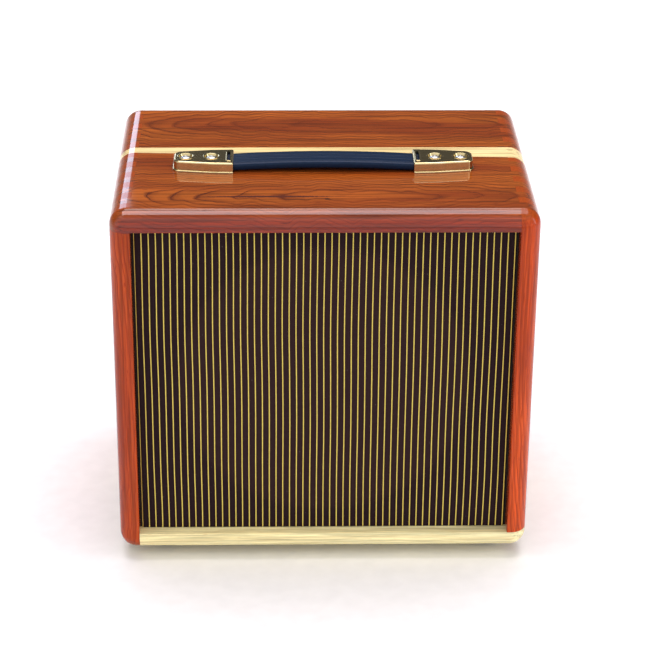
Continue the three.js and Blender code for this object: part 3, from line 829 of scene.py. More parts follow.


# Finishes used by the pieces below.
GOLD = surface("gold_plate", (0.56, 0.45, 0.23), (0.65, 0.54, 0.30), 90, (0.07, 0.20), 1.0, 0.00001,
               (1, 6, 1))
STEEL = surface("bright_steel", (0.62, 0.62, 0.63), (0.74, 0.74, 0.75), 120, (0.16, 0.34), 1.0, 0.00002)
ZINC = surface("chassis_steel", (0.46, 0.47, 0.49), (0.58, 0.59, 0.61), 35, (0.30, 0.48), 1.0, 0.00003,
               (1, 8, 8))
BLACK_STEEL = surface("black_steel", (0.014, 0.014, 0.015), (0.026, 0.026, 0.028), 160, (0.32, 0.5), 0.0,
                      0.00008)
# The strap's black rubber is tinted deep blue: a painted slate-blue reflection.
STRAP_RUBBER_BLUE_SHEEN = surface("strap_rubber", (0.0025, 0.011, 0.032), (0.004, 0.015, 0.043), 420, (0.28, 0.34), 0.0,
                0.00001, ior=1.22)
FOOT = surface("foot_rubber", (0.012, 0.012, 0.012), (0.030, 0.030, 0.030), 240, (0.7, 0.9), 0.0, 0.0001)
PINE = surface("pine", (0.70, 0.47, 0.22), (0.58, 0.35, 0.14), 22, (0.5, 0.7), 0.0, 0.0003, (2, 9, 9))
PHENOLIC = surface("phenolic", (0.016, 0.012, 0.010), (0.034, 0.025, 0.020), 190, (0.22, 0.36), 0.0, 0.00003)
FERRITE = surface("ferrite", (0.032, 0.033, 0.036), (0.060, 0.061, 0.066), 210, (0.5, 0.7), 0.0, 0.0001)
COPPER = surface("copper_wire", (0.60, 0.26, 0.11), (0.80, 0.40, 0.20), 320, (0.25, 0.42), 1.0, 0.00004)
SPIDER = surface("spider_cloth", (0.42, 0.25, 0.09), (0.58, 0.37, 0.16), 500, (0.8, 0.95), 0.0, 0.0002)
PANEL = surface("panel_brass", (0.62, 0.49, 0.24), (0.73, 0.60, 0.33), 28, (0.22, 0.36), 1.0, 0.00002,
                (1, 1, 18))
INK = surface("panel_ink", (0.012, 0.011, 0.010), (0.024, 0.022, 0.020), 400, (0.5, 0.65), 0.0, 0.00001)
IVORY = surface("pointer_paint", (0.74, 0.71, 0.62), (0.84, 0.81, 0.72), 300, (0.4, 0.55), 0.0, 0.00001)
CORE = surface("laminations", (0.10, 0.10, 0.105), (0.19, 0.19, 0.195), 60, (0.36, 0.5), 0.7, 0.0002,
               (1, 40, 1))
PAPER = surface("winding_paper", (0.46, 0.30, 0.11), (0.60, 0.42, 0.19), 60, (0.6, 0.8), 0.0, 0.0001)
ELECTRODE = surface("electrode", (0.16, 0.16, 0.165), (0.27, 0.27, 0.28), 130, (0.45, 0.6), 0.7, 0.00004)
GETTER = surface("getter_mirror", (0.50, 0.50, 0.52), (0.64, 0.63, 0.62), 90, (0.12, 0.3), 1.0)
GLASS = glass_material()


# ---------- making pieces in millimetres round one point ----------


def made(name, bm, at=(0, 0, 0)):
    """An object from a bmesh drawn in millimetres round a point given in metres."""
    bmesh.ops.transform(bm, matrix=Matrix.Translation(Vector(at)) @ Matrix.Scale(MM, 4), verts=bm.verts)
    return raw(name, bm)


def put(name, bm, at, material, **more):
    """Makes a piece from a bmesh drawn in millimetres, and settles it."""
    return settle(made(name, bm, at), material, **more)


def turned(profile, corner=0.0, axis="y", sides=64, steps=3, centre=(0, 0, 0), bm=None):
    """A bmesh of one turned body whose profile corners are softened."""
    bm = bm or bmesh.new()
    lathe(bm, softened(profile, corner, steps) if corner else profile, centre, axis, sides)
    return bm


def disc(radius, y0, y1, sides=48, corner=0.0, **more):
    """A bmesh of one plain round body."""
    return turned([(0, y0), (radius, y0), (radius, y1), (0, y1)], corner, sides=sides, **more)


def nut(bm, flats, y0, y1):
    radius = flats / 2 / math.cos(math.pi / 6)
    outline = [(radius * math.cos(math.pi / 3 * k), radius * math.sin(math.pi / 3 * k)) for k in range(6)]
    return prism(bm, outline, "y", y0, y1, 0.35, 2)


def drilled_nut(name, at, flats, y0, y1, bore, washer=None):
    body = made(name, nut(washer, flats, y0, y1), at)
    holes(body, at, disc(bore, 0, 6))
    settle(body, STEEL)


def rounded(w, h, r, steps=6):
    """A rounded rectangle round the origin."""
    return softened([(-w / 2, -h / 2), (w / 2, -h / 2), (w / 2, h / 2), (-w / 2, h / 2)], r * 1.5, steps)


def add_to(piece, extra):
    boolean(piece, extra, "UNION")
    drop(extra)


def holes(piece, at, *cutters):
    """Cuts several shapes, each drawn in millimetres round a point, out of a piece, one after another."""
    for bm in cutters:
        cutter = made("cutter", bm, at)
        boolean(piece, cutter)
        drop(cutter)


# ---------- grille cloth and baffle ----------


def build_cloth():
    low, high = corners("grille_cloth")
    bend = 0.9 * MM
    turn_in = 11.0 * MM
    half = high.x - bend
    flat_half = half + bend * math.pi / 2 + turn_in
    tall = (high.z - low.z) / 2 - bend
    flat_tall = tall + bend * math.pi / 2
    across = wrap_steps(flat_half, half, bend, stripe_steps(half))
    upward = wrap_steps(flat_tall, tall, bend, [-tall + 2 * tall * k / 56 for k in range(57)])
    bm = bmesh.new()
    uv = bm.loops.layers.uv.new("weave")
    grid, flat = [], {}
    for v in upward:
        row = []
        for u in across:
            wobble = noise.noise(Vector((u * 7, v * 11, 1.7))) * 0.8 * MM
            fade = min(1.0, (half - abs(u)) / (8 * MM)) if abs(u) < half else 0.0
            x, back = wrapped(u + wobble * fade, half, bend)
            z, sink = wrapped(v, tall, bend)
            relief = weave_height(u) * (1 if abs(u) < half else 0)
            vert = bm.verts.new((x, low.y + 0.30 * MM + back + sink - relief, (low.z + high.z) / 2 + z))
            flat[vert] = (u, v)
            row.append(vert)
        grid.append(row)
    for lower, upper in zip(grid, grid[1:]):
        for k in range(len(lower) - 1):
            face = bm.faces.new([lower[k], lower[k + 1], upper[k + 1], upper[k]])
            for loop in face.loops:
                loop[uv].uv = flat[loop.vert]
    mesh = bpy.data.meshes.new("grille_cloth")
    bm.to_mesh(mesh)
    bm.free()
    cloth = link("grille_cloth_piece", mesh)
    step = cloth.modifiers.new("thick", "SOLIDIFY")
    step.thickness = 0.45 * MM
    step.offset = -1
    bake(cloth)
    settle(cloth, cloth_material(), nodes=["grille_cloth"], sharp=80)


def stripe_steps(half):
    """Positions across the cloth that follow each gold thread and the two ribs beside it."""
    shares = (-0.5, -0.42, -0.36, -0.27, -0.2, -0.15, -0.1, -0.07, 0.0, 0.07, 0.1, 0.15, 0.2, 0.27, 0.36,
              0.42)
    places = [FIRST_STRIPE + STRIPE * (k + share) for k in range(56) for share in shares]
    return [-half] + [x for x in places if abs(x) < half - 0.2 * MM] + [half]


def wrap_steps(flat_half, half, bend, between):
    """The same positions with more added where the cloth turns over the baffle's edge and runs back."""
    arc = [half + bend * math.pi / 2 * k / 5 for k in range(1, 6)]
    run = [] if flat_half - arc[-1] < MM else [arc[-1] + (flat_half - arc[-1]) * k / 4 for k in range(1, 5)]
    beyond = arc + run
    return [-s for s in reversed(beyond)] + between + beyond


def wrapped(s, half, bend):
    """Where a point of the flat cloth goes: (distance sideways, distance back)."""
    over = abs(s) - half
    if over <= 0:
        return s, 0.0
    angle = min(over / bend, math.pi / 2)
    along = half + bend * math.sin(angle)
    back = bend * (1 - math.cos(angle)) + max(0.0, over - bend * math.pi / 2)
    return math.copysign(along, s), back


def weave_height(u):
    share = ((u - FIRST_STRIPE) / STRIPE + 0.5) % 1.0
    off = abs(share - 0.5)
    if off < 0.11:
        return 0.30 * MM * math.cos(off / 0.11 * math.pi / 2)
    return 0.22 * MM * math.sin((off - 0.11) / 0.39 * 2 * math.pi * 1.0) ** 2


def build_baffle():
    low, high = corners("baffle_board")
    centre = middle("speaker_cone")
    thick = (high.y - low.y) / MM
    bm = slab(None, low, high, 1.0 * MM, 3)
    baffle = raw("baffle_board_piece", bm)
    hole = turned([(0, -1), (139.5, -1), (139.5, 0), (138, 1.8), (138, thick - 1), (138.6, thick),
                   (138.6, thick + 1),
                   (0, thick + 1)], sides=128)
    holes(baffle, (centre.x, low.y, centre.z), hole)
    settle(baffle, ply_material(), nodes=["baffle_board"])
    # Dark felt strips fill the gaps between the baffle's edges and the side boards: dark sheets put there as
    # painted shade, so that the gaps stay dark behind the cloth's edges.
    felt = surface("felt", (0.010, 0.009, 0.009), (0.024, 0.022, 0.021), 900, (0.9, 1.0), 0.0, 0.0003)
    for side, edge in (("left", -INNER), ("right", INNER)):
        near, far = sorted((edge - math.copysign(0.15 * MM, edge), edge - math.copysign(2.0 * MM, edge)))
        bm = slab(None, (near, low.y + 1.5 * MM, FLOOR + 0.3 * MM), (far, high.y, CEILING - 0.3 * MM),
                  0.5 * MM, 3)
        settle(raw(f"baffle_shade_felt_{side}", bm), felt)
    for side in ("left", "right"):
        low, high = corners(f"baffle_cleat_{side}")
        bm = slab(None, low, high, 0.9 * MM, 3)
        cleat = raw(f"baffle_cleat_{side}_piece", bm)
        inwards = 1 if side == "left" else -1
        face = high.x if side == "left" else low.x
        for share in (0.14, 0.5, 0.86):
            at = (face, (low.y + high.y) / 2, low.z + (high.z - low.z) * share)
            holes(cleat, at, turned([(0, -3 * inwards), (2.4, -3 * inwards), (4.6, 0.3 * inwards),
                                     (0, 0.3 * inwards)],
                                    axis="x", sides=32))
            wood_screw(f"cleat_screw_{side}_{int(share * 100)}", at, "x", inwards, 4.2)
        settle(cleat, PINE, nodes=[f"baffle_cleat_{side}"])


def cross_cutter(axis, sign, radius, deep):
    """A Phillips recess, drawn at the origin with its mouth facing along the axis."""
    cutters = []
    for turn in (0, 1):
        bm = bmesh.new()
        wide, thin = radius * 0.62, radius * 0.15
        a, b = (wide, thin) if turn else (thin, wide)
        mouth = [(-a, -b), (a, -b), (a, b), (-a, b)]
        tips = [(p * 0.45 if abs(p) > radius * 0.3 else p, q * 0.45 if abs(q) > radius * 0.3 else q) for p,
                q in mouth]
        lift = {"x": lambda p, q, t: (t, p, q), "y": lambda p, q, t: (p, t, q), "z": lambda p, q,
                t: (p, q, t)}[axis]
        over = [bm.verts.new(lift(p, q, 2.5 * sign)) for p, q in mouth]
        under = [bm.verts.new(lift(p, q, -deep * sign)) for p, q in tips]
        bm.faces.new(over)
        bm.faces.new(under)
        for k in range(4):
            n = (k + 1) % 4
            bm.faces.new([over[k], over[n], under[n], under[k]])
        bmesh.ops.recalc_face_normals(bm, faces=bm.faces)
        cutters.append(bm)
    return cutters


def wood_screw(name, at, axis, sign, radius, nodes=(), dome=0.8, shank=8.0):
    """A countersunk cross-head screw whose head faces along the axis."""
    profile = [(0, -shank), (radius * 0.38, -shank), (radius * 0.38, -radius * 0.62), (radius, -0.25),
               (radius, 0.0),
               (radius * 0.6, dome * 0.75), (0, dome)]
    head = made(name, turned([(r, t * sign) for r, t in profile], axis=axis, sides=32), at)
    holes(head, at, *cross_cutter(axis, sign, radius, radius * 0.45))
    settle(head, STEEL, nodes=nodes, sharp=40)


# ---------- carrying handle ----------

CAP_INNER, CAP_OUTER, CAP_HIGH = 83.5, 139.0, 10.0
CAP_SIDE = [(CAP_INNER, 18.5), (104, 17.5), (CAP_OUTER - 4, 13), (CAP_OUTER, 8.5)]
CAP_SLOT_X = 87.9
CAP_SCREWS = (104, 128)
STRAP_END = 96


def cap_outline(sign, inset, soft):
    """Outline of a cap from above, set in by a wall thickness or out by a lip."""
    side = []
    for x, y in CAP_SIDE:
        if x == CAP_INNER:
            x += 5 if inset > 0 else 0
        elif x > CAP_SCREWS[0]:
            x -= inset
        side.append((x * sign, y - inset))
    return softened(side + [(x, -y) for x, y in reversed(side)], soft, 4)


def build_handle():
    grip_low, grip_high = corners("handle_strap_grip")
    base = Vector((0, (grip_low.y + grip_high.y) / 2, corners("handle_cap_left")[0].z))
    for side, sign in (("left", -1), ("right", 1)):

        def slot_outline(wide, long, corner, steps):
            return [(a + sign * CAP_SLOT_X, b) for a, b in rounded(wide, long, corner, steps)]

        cap = made(f"handle_cap_{side}_piece", prism(None, cap_outline(sign, 0, 2.4), "z", -5, CAP_HIGH, 1.5,
                                                     5), base)
        lip = prism(None, cap_outline(sign, -1.0, 2.4), "z", -4, 1.5, 0.7, 4)
        rim = prism(None, slot_outline(5.4, 25.5, 2.4, 5), "z", 8.5, 10.55, 0.5, 3)
        for extra in (lip, rim):
            add_to(cap, made("extra", extra, base))
        below = slab(None, (-160, -30, -8), (160, 30, 0))
        inside = prism(None, cap_outline(sign, 1.6, 1.5), "z", -1, CAP_HIGH - 1.6)
        arch = softened([(-15.7, -1), (15.7, -1), (15.7, 8.6), (-15.7, 8.6)], 3.0, 4)
        mouth = prism(None, arch, "x", *sorted((sign * 80, sign * 92)))
        slot = prism(None, slot_outline(2.6, 22.5, 1.2, 4), "z", 6, 12)
        places = [(x * sign, 0, 0) for x in CAP_SCREWS]
        wells = [disc(7.4, -2, 12, axis="z", centre=place) for place in places]
        holes(cap, base, below, inside, mouth, slot, *wells)
        for place in places:
            cup = [(2.4, 0.02), (7.7, 0.02), (7.7, 9.7), (7.9, 10.15), (7.6, 10.5), (7.1, 10.6), (6.5, 10.4),
                   (6.0, 9.3), (5.2, 7.4), (2.4, 5.2)]
            add_to(cap, made("cup", turned(cup, axis="z", sides=48, centre=place), base))
        settle(cap, GOLD, nodes=[f"handle_cap_{side}"], sharp=38)
        build_strap(side, sign, base)
    for i, x in enumerate([-x for x in CAP_SCREWS] + list(CAP_SCREWS)):
        at = base + Vector((x, 0, 8.6)) * MM
        wood_screw(f"handle_screw_{i + 1}_piece", at, "z", 1, 4.9, nodes=[f"handle_screw_{i + 1}"], dome=1.5,
                   shank=21)


def strap_section():
    """Half-round edges, two shallow grooves near them and two beside the middle rib."""
    edge = [(-12.4, 7.0), (-14.2, 6.3), (-15.0, 4.6), (-15.0, 2.2), (-14.0, 0.6), (-12.2, 0.0)]
    top = []
    for y in (4.1, 11.3):
        top += [(y - 0.9, 7.0), (y - 0.35, 6.15), (y + 0.35, 6.15), (y + 0.9, 7.0)]
    right = [(0, 7.25)] + top + [(-y, z) for y, z in edge]
    left = [(-y, z) for y, z in reversed(right[1:])]
    return softened(right + left, 0.55, 3)


def build_strap(side, sign, base):
    section = strap_section()
    steps = 32
    bm = bmesh.new()
    rings = []
    for k in range(steps + 1):
        x = STRAP_END * k / steps
        bow = 2.5 * max(0.0, 1 - (x / CAP_INNER) ** 2)
        rings.append([bm.verts.new((x * sign, y, z + 0.8 + bow)) for y, z in section])
    loft(bm, rings)
    nodes = [f"handle_strap_end_{side}"] + (["handle_strap_grip"] if side == "left" else [])
    strap = put(f"handle_strap_{side}", bm, base, STRAP_RUBBER_BLUE_SHEEN, body=None, nodes=nodes, sharp=50)
    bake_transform(strap)


# ---------- loudspeaker ----------


def speaker_part(node, profile, at, material, corner=0.0, sides=128, sharp=60, body=CABINET):
    put(f"{node}_piece", turned(profile, corner, sides=sides), at, material, body=body, nodes=[node],
        sharp=sharp)


def build_speaker():
    centre = middle("speaker_cone")
    at = Vector((centre.x, corners("speaker_basket")[0].y, centre.z))
    basket_profile = [(142, 0), (154, 0), (154, 2.5), (144.5, 3.3), (132, 24), (84, 40), (66, 56), (29, 56),
                      (29, 54),
                      (62, 54), (80, 37.5), (129, 21.5)]
    basket = made("speaker_basket_piece", turned(basket_profile, 1.6, sides=144, steps=4), at)
    half, near, far, steps = math.radians(32), 76, 127, 10
    for quarter in range(4):
        middle_angle = math.pi / 4 + quarter * math.pi / 2
        angles = [middle_angle - half + 2 * half * k / steps for k in range(steps + 1)]
        outline = [(far * math.cos(a), far * math.sin(a)) for a in angles]
        outline += [(near * math.cos(a), near * math.sin(a)) for a in reversed(angles)]
        holes(basket, at, prism(None, softened(outline, 5, 3), "y", 10, 70))
    settle(basket, BLACK_STEEL, nodes=["speaker_basket"])
    for k in range(8):
        angle = math.pi / 8 + k * math.pi / 4
        place = at + Vector((math.cos(angle), 0, math.sin(angle))) * 148.6 * MM
        bm = disc(5.2, 2.4, 3.2, 24, 0.2)
        nut(bm, 7.5, 3.2, 6.0)
        turned([(0, 6.0), (2.1, 6.0), (2.1, 8.0), (1.7, 8.4), (0, 8.4)], sides=16, bm=bm)
        put(f"speaker_nut_{k + 1}", bm, place, STEEL)
    build_moving_paper(at)
    build_magnet(at)


def build_moving_paper(at):
    front = []
    for k in range(37):
        r = 127.5 + 12.3 * k / 36
        front.append((r, 1.5 - 0.9 * math.cos(2 * math.pi * 2.5 * k / 36)))
    speaker_part("speaker_surround", front + [(r, y + 0.7) for r, y in reversed(front)], at, CONE)
    rear = [(127, 3), (95, 15.5), (60, 27.5), (23.7, 37)]
    path = []
    for (r0, y0), (r1, y1) in zip(rear, rear[1:]):
        for k in range(10):
            t = k / 10
            r = r0 + (r1 - r0) * t
            rib = 0.45 * math.sin(math.pi * r / 5.0) if 62 < r < 112 else 0.0
            path.append((r, y0 + (y1 - y0) * t - 0.5 + rib))
    path.append((23.7, 36.6))
    moving = {"body": "cone_assembly"}
    speaker_part("speaker_cone", path + [(r, y - 0.8) for r, y in reversed(path)], at, CONE, **moving)
    widest = 1.5
    angles = [widest * k / 14 for k in range(15)]
    dome = [(35.2 * math.sin(a), 32.0 - 13.2 * (math.cos(a) - math.cos(widest))) for a in angles]
    cap = dome + [(r - 0.6, y + 0.7) for r, y in reversed(dome) if r > 0.7] + [(0, dome[0][1] + 0.7)]
    speaker_part("speaker_dust_cap", cap, at, CONE, sides=64, **moving)
    turns = [(22.05 + (0.55 if k % 2 else 0.25), 38 + 0.28 * k) for k in range(80)]
    coil = [(21.6, 32), (22.0, 32)] + turns + [(22.0, 61.5), (21.6, 61.5)]
    speaker_part("voice_coil", coil, at, COPPER, sides=64, sharp=32, **moving)
    waves = [(24 + 33.8 * k / 60, 43.45 + 0.42 * math.sin(math.pi * 2 * k / 60 * 6)) for k in range(61)]
    speaker_part("speaker_spider", waves + [(r, y + 0.25) for r, y in reversed(waves)], at, SPIDER, sides=96)


def build_magnet(at):
    for node, profile, corner, material in (
            ("speaker_top_plate", [(23.8, 56.3), (55, 56.3), (55, 63.3), (23.8, 63.3)], 0.6, STEEL),
            ("speaker_magnet", [(34, 63.6), (68, 63.6), (68, 81.6), (34, 81.6)], 1.6, FERRITE),
            ("speaker_yoke", [(6, 57.3), (20.5, 57.3), (20.5, 81.9), (55, 81.9), (55, 87.9), (10, 87.9),
                              (6, 84.5)],
             0.9, STEEL)):
        speaker_part(node, profile, at, material, corner, sides=96, sharp=32)
    # A fibre board with two solder tags stands on the lowest arm of the basket.
    put("speaker_tag_board", slab(None, (-13, 41.2, -96), (13, 42.7, -80), 0.4, 2), at, PAPER)
    for side, x in (("left", -7), ("right", 7)):
        bm = slab(None, (x - 2, 42.7, -101), (x + 2, 43.4, -85), 0.2, 2)
        turned([(0, 42.7), (1.6, 42.7), (1.6, 44.4), (0, 44.8)], sides=20, centre=(x, 0, -86), bm=bm)
        put(f"speaker_tag_{side}", bm, at, GOLD)


# ---------- chassis and what is fixed to it ----------


def on_panel(node):
    """The point on the control panel's outer face where a control is fixed."""
    return Vector((middle(node).x, corners("control_panel")[1].y, middle("volume_pot").z))


PANEL_HOLES = {"input_jack": 5.3, "volume_pot": 5.3, "tone_pot": 5.3, "pilot_lamp": 7.3,
               "power_switch_body": 6.5,
               "fuse_holder": 6.9, "speaker_jack": 5.3}


def build_panel():
    low, high = corners("control_panel")
    panel = raw("control_panel_piece", slab(None, low, high, 0.35 * MM, 2))
    for node, radius in PANEL_HOLES.items():
        holes(panel, on_panel(node), disc(radius, -6, 6))
    holes(panel, on_panel("mains_inlet"), slab(None, (-14.8, -6, -11.3), (14.8, 6, 11.3)))
    settle(panel, PANEL, nodes=["control_panel"])
    for i, (sign, share) in enumerate(((-1, 0.12), (-1, 0.88), (1, 0.12), (1, 0.88))):
        at = (sign * (high.x - 7 * MM), high.y, low.z + (high.z - low.z) * share)
        wood_screw(f"panel_screw_{i + 1}", at, "y", 1, 3.4, dome=1.5, shank=1.2)
    for name in ("volume", "tone"):
        place = on_panel(f"{name}_pot")
        bm = bmesh.new()
        for k in range(DIAL_STEPS + 1):
            seen = set(bm.verts)
            slab(bm, (-0.35, 0.0, 19.2), (0.35, 0.12, 22.4 if k % 5 == 0 else 21.2), 0.04, 1)
            tick = [vert for vert in bm.verts if vert not in seen]
            bmesh.ops.transform(bm, matrix=Matrix.Rotation(dial_angle(k), 4, "Y"), verts=tick)
        put(f"{name}_marks", bm, place, INK)
        for k in range(0, DIAL_STEPS + 1, 2):
            dial_number(f"{name}_number_{k}", str(k), dial_angle(k), place)


DIAL_STEPS = 10


def dial_angle(k):
    """Clockwise as read from behind, from 0 at the lower left to 10 at the lower right."""
    return math.radians(150 - 300 * k / DIAL_STEPS)


def dial_number(name, text, angle, place):
    """A small raised number beyond its dial mark, read from behind the amplifier."""
    curve = bpy.data.curves.new(name, "FONT")
    curve.body = text
    curve.size = 4.6
    curve.extrude = 0.05
    curve.align_x = curve.align_y = "CENTER"
    maker = link(name + "_letters", curve)
    mesh = bpy.data.meshes.new_from_object(maker.evaluated_get(bpy.context.evaluated_depsgraph_get()))
    bpy.data.objects.remove(maker)
    bpy.data.curves.remove(curve)
    radius = 25.4
    spot = Vector((radius * math.sin(angle), 0.06, radius * math.cos(angle)))
    stand = Matrix.Rotation(math.pi, 4, "Z") @ Matrix.Rotation(math.pi / 2, 4, "X")
    mesh.transform(Matrix.Translation(place) @ Matrix.Scale(MM, 4) @ Matrix.Translation(spot) @ stand)
    settle(link(name, mesh), INK)


def build_controls():
    for name in ("input_jack", "speaker_jack"):
        at = on_panel(name)
        put(f"{name}_sleeve", turned([(3.3, -20), (4.7, -20), (4.7, 4.4), (4.2, 4.9), (3.3, 4.9)], sides=40),
            at, STEEL)
        washer = turned([(4.8, 0.3), (7.6, 0.3), (7.6, 0.9), (4.8, 0.9)], 0.15, sides=48)
        drilled_nut(f"{name}_nut", at, 13, 0.9, 3.0, 4.75, washer)
        case = made(f"{name}_piece", slab(None, (-9, -34, -10), (9, -3.5, 10), 1.2, 3), at)
        holes(case, at, disc(3.3, -36, 0, 32))
        settle(case, PHENOLIC, nodes=[name])
    for name in ("volume", "tone"):
        pot = f"{name}_pot"
        at = on_panel(pot)
        put(f"{pot}_bushing", turned([(3.3, -8), (4.7, -8), (4.7, 5.6), (4.3, 6.0), (3.3, 6.0)], sides=40),
            at, STEEL)
        drilled_nut(f"{pot}_nut", at, 12, 0.3, 2.6, 4.75)
        can = made(f"{pot}_piece", disc(11.5, -16, -3.5, 64, 1.2), at)
        holes(can, at, disc(3.3, -12, 0, 32))
        settle(can, ZINC, nodes=[pot])
        build_knob(name, at)
    build_switch(on_panel("power_switch_body"))
    build_fuse(on_panel("fuse_holder"))
    build_lamp(on_panel("pilot_lamp"))
    build_inlet(on_panel("mains_inlet"))


def build_knob(name, at):
    turning = {"body": f"{name}_control"}
    bm = turned([(0, 8), (12, 8), (12, 10.6), (11.2, 12), (9.7, 16.8), (0, 16.8)], 0.8, sides=72)
    pointer = softened([(-5, -10), (5, -10), (4.6, 6), (1.3, 17), (-1.3, 17), (-4.6, 6)], 2.0, 4)
    prism(bm, pointer, "y", 11, 23.9, 1.3, 4)
    disc(3, -10, 9, 32, 0.3, bm=bm)
    put(f"{name}_knob_piece", bm, at, PHENOLIC, nodes=[f"{name}_knob"], **turning)
    put(f"{name}_knob_line", slab(None, (-0.45, 23.6, 2), (0.45, 24.0, 15.2), 0.12, 2), at, IVORY, **turning)


def build_switch(at):
    bushing = [(3.8, -4), (5.9, -4), (5.9, 7.6), (5.5, 8.0), (4.9, 8.0), (3.8, 4)]
    put("power_switch_bushing", turned(bushing, sides=48), at, STEEL)
    drilled_nut("power_switch_nut", at, 14, 0.4, 2.8, 5.95)
    bm = slab(None, (-7, -26, -14), (7, -4.2, 14), 0.9, 3)
    for z in (-8, 8):
        slab(bm, (-2.4, -31, z - 0.4), (2.4, -26.2, z + 0.4), 0.2, 1)
    put("power_switch_case", bm, at, PHENOLIC, nodes=["power_switch_body"])
    bat = [(0, -3.0), (2.1, -3.0), (2.9, 0), (1.6, 3.5), (2.1, 10), (2.8, 18), (2.6, 20.3), (1.6, 21.3),
           (0, 21.5)]
    bm = turned(softened(bat, 0.8, 3, closed=False), sides=40)
    bmesh.ops.transform(bm, matrix=Matrix.Rotation(math.radians(-12), 4, "X"), verts=bm.verts)
    pivot = at + Vector((0, 2 * MM, 0))
    put("power_switch_bat", bm, pivot, STEEL, body="switch_lever", nodes=["power_switch_lever"])


def build_fuse(at):
    bm = turned([(4.9, -34), (6.4, -34), (6.4, -3.4), (4.9, -3.4)], 0.5, sides=48)
    turned([(4.95, -3.3), (6.3, -3.3), (6.3, 0.3), (8.6, 0.3), (8.6, 2.2), (8.2, 2.6), (6.1, 2.6),
            (4.95, 1.0)],
           sides=48, bm=bm)
    put("fuse_holder_piece", bm, at, PHENOLIC, nodes=["fuse_holder"])
    bm = turned([(0, 3), (7.2, 3), (7.2, 9), (6.2, 11), (0, 11)], 0.5, sides=64)
    disc(4.4, -30, 3.2, 40, 0.4, bm=bm)
    cap = made("fuse_cap_piece", bm, at)
    holes(cap, at, slab(None, (-0.8, 9.2, -8), (0.8, 12, 8)))
    settle(cap, PHENOLIC, body="fuse_carrier", nodes=["fuse_cap"])


def build_lamp(at):
    bezel = [(0, -28), (6.6, -28), (6.6, 0.4), (9.5, 0.4), (9.5, 2.4), (8.6, 3.4), (7.4, 3.6), (7.2, 1.4),
             (0, 1.4)]
    put("pilot_lamp_bezel", turned(bezel, 0.3), at, STEEL, nodes=["pilot_lamp"])
    facets = [(0, 1.6), (7.0, 1.6), (7.0, 5.4), (5.6, 8.4), (3.0, 10.4), (0, 11.2)]
    put("pilot_lamp_jewel", turned(facets, sides=12), at, jewel_material(), sharp=8)


def build_inlet(at):
    flange = made("mains_inlet_flange", prism(None, rounded(50, 26, 6), "y", 0.3, 3.3, 0.8, 3), at)
    for side, x in (("left", -20), ("right", 20)):
        holes(flange, at, turned([(0, 0), (1.8, 0), (1.8, 1.6), (3.6, 3.4), (0, 3.4)], sides=32,
                                 centre=(x, 0, 0)))
        spot = at + Vector((x, 3.1, 0)) * MM
        wood_screw(f"mains_inlet_screw_{side}", spot, "y", 1, 3.2, dome=0.4, shank=5)
    body = made("mains_inlet_body", slab(None, (-14.4, -24, -10.9), (14.4, -0.1, 10.9), 0.8, 3), at)
    mouth = softened([(-12, -8), (12, -8), (12, 4), (8, 8), (-8, 8), (-12, 4)], 1, 3)
    for piece, nodes in ((flange, []), (body, ["mains_inlet"])):
        holes(piece, at, prism(None, mouth, "y", -19, 6))
        settle(piece, PHENOLIC, nodes=nodes)
    for i, (x, z) in enumerate(((-7, -2), (0, 2), (7, -2))):
        put(f"mains_inlet_pin_{i + 1}", slab(None, (x - 1, -18.9, z - 2), (x + 1, -5, z + 2), 0.45, 3), at,
            STEEL)


def build_transformers():
    for name, (w, d, h, coil) in (("power_transformer", (74, 64, 62, 11)),
                                  ("output_transformer", (52, 44, 42, 8))):
        low, high = corners(name)
        at = Vector(((low.x + high.x) / 2, (low.y + high.y) / 2, high.z))
        bm = bmesh.new()
        sheets = int(d / 2 / 1.0)
        for k in range(sheets):
            y = -d / 4 + d / 2 * k / sheets
            slab(bm, (-w / 2, y, -h), (w / 2, y + d / 2 / sheets * 0.86, -0.6), 0.12, 1)
        slab(bm, (-w / 2 + 0.4, -d / 4 + 0.3, -h + 0.4), (w / 2 - 0.4, d / 4 - 0.6, -1))
        core = made(f"{name}_core", bm, at)
        settle(core, CORE)
        bm = slab(None, (-w / 2 - 6, -d / 4, -2), (w / 2 + 6, d / 4, 0), 0.5, 2)
        for y in (-1, 1):
            slab(bm, (-w / 2 + coil, min(0, y * d / 2), -h + coil), (w / 2 - coil, max(0, y * d / 2), -coil),
                 3.0, 5)
        put(f"{name}_piece", bm, at, BLACK_STEEL, slot="transformer", nodes=[name])
        for i, (x, z) in enumerate(((-1, -1), (1, -1), (-1, 1), (1, 1))):
            for y in (-1, 1):
                spot = at + Vector((x * (w / 2 - 4.5), y * d / 4, -h / 2 + z * (h / 2 - 4.5))) * MM
                bm = nut(None, 6, *sorted((0, y * 2.6)))
                turned([(0, y * 2.6), (1.5, y * 2.6), (1.3, y * 4.0), (0, y * 4.2)], sides=16, bm=bm)
                side = "front" if y < 0 else "rear"
                put(f"{name}_bolt_{side}_{i + 1}", bm, spot, STEEL)


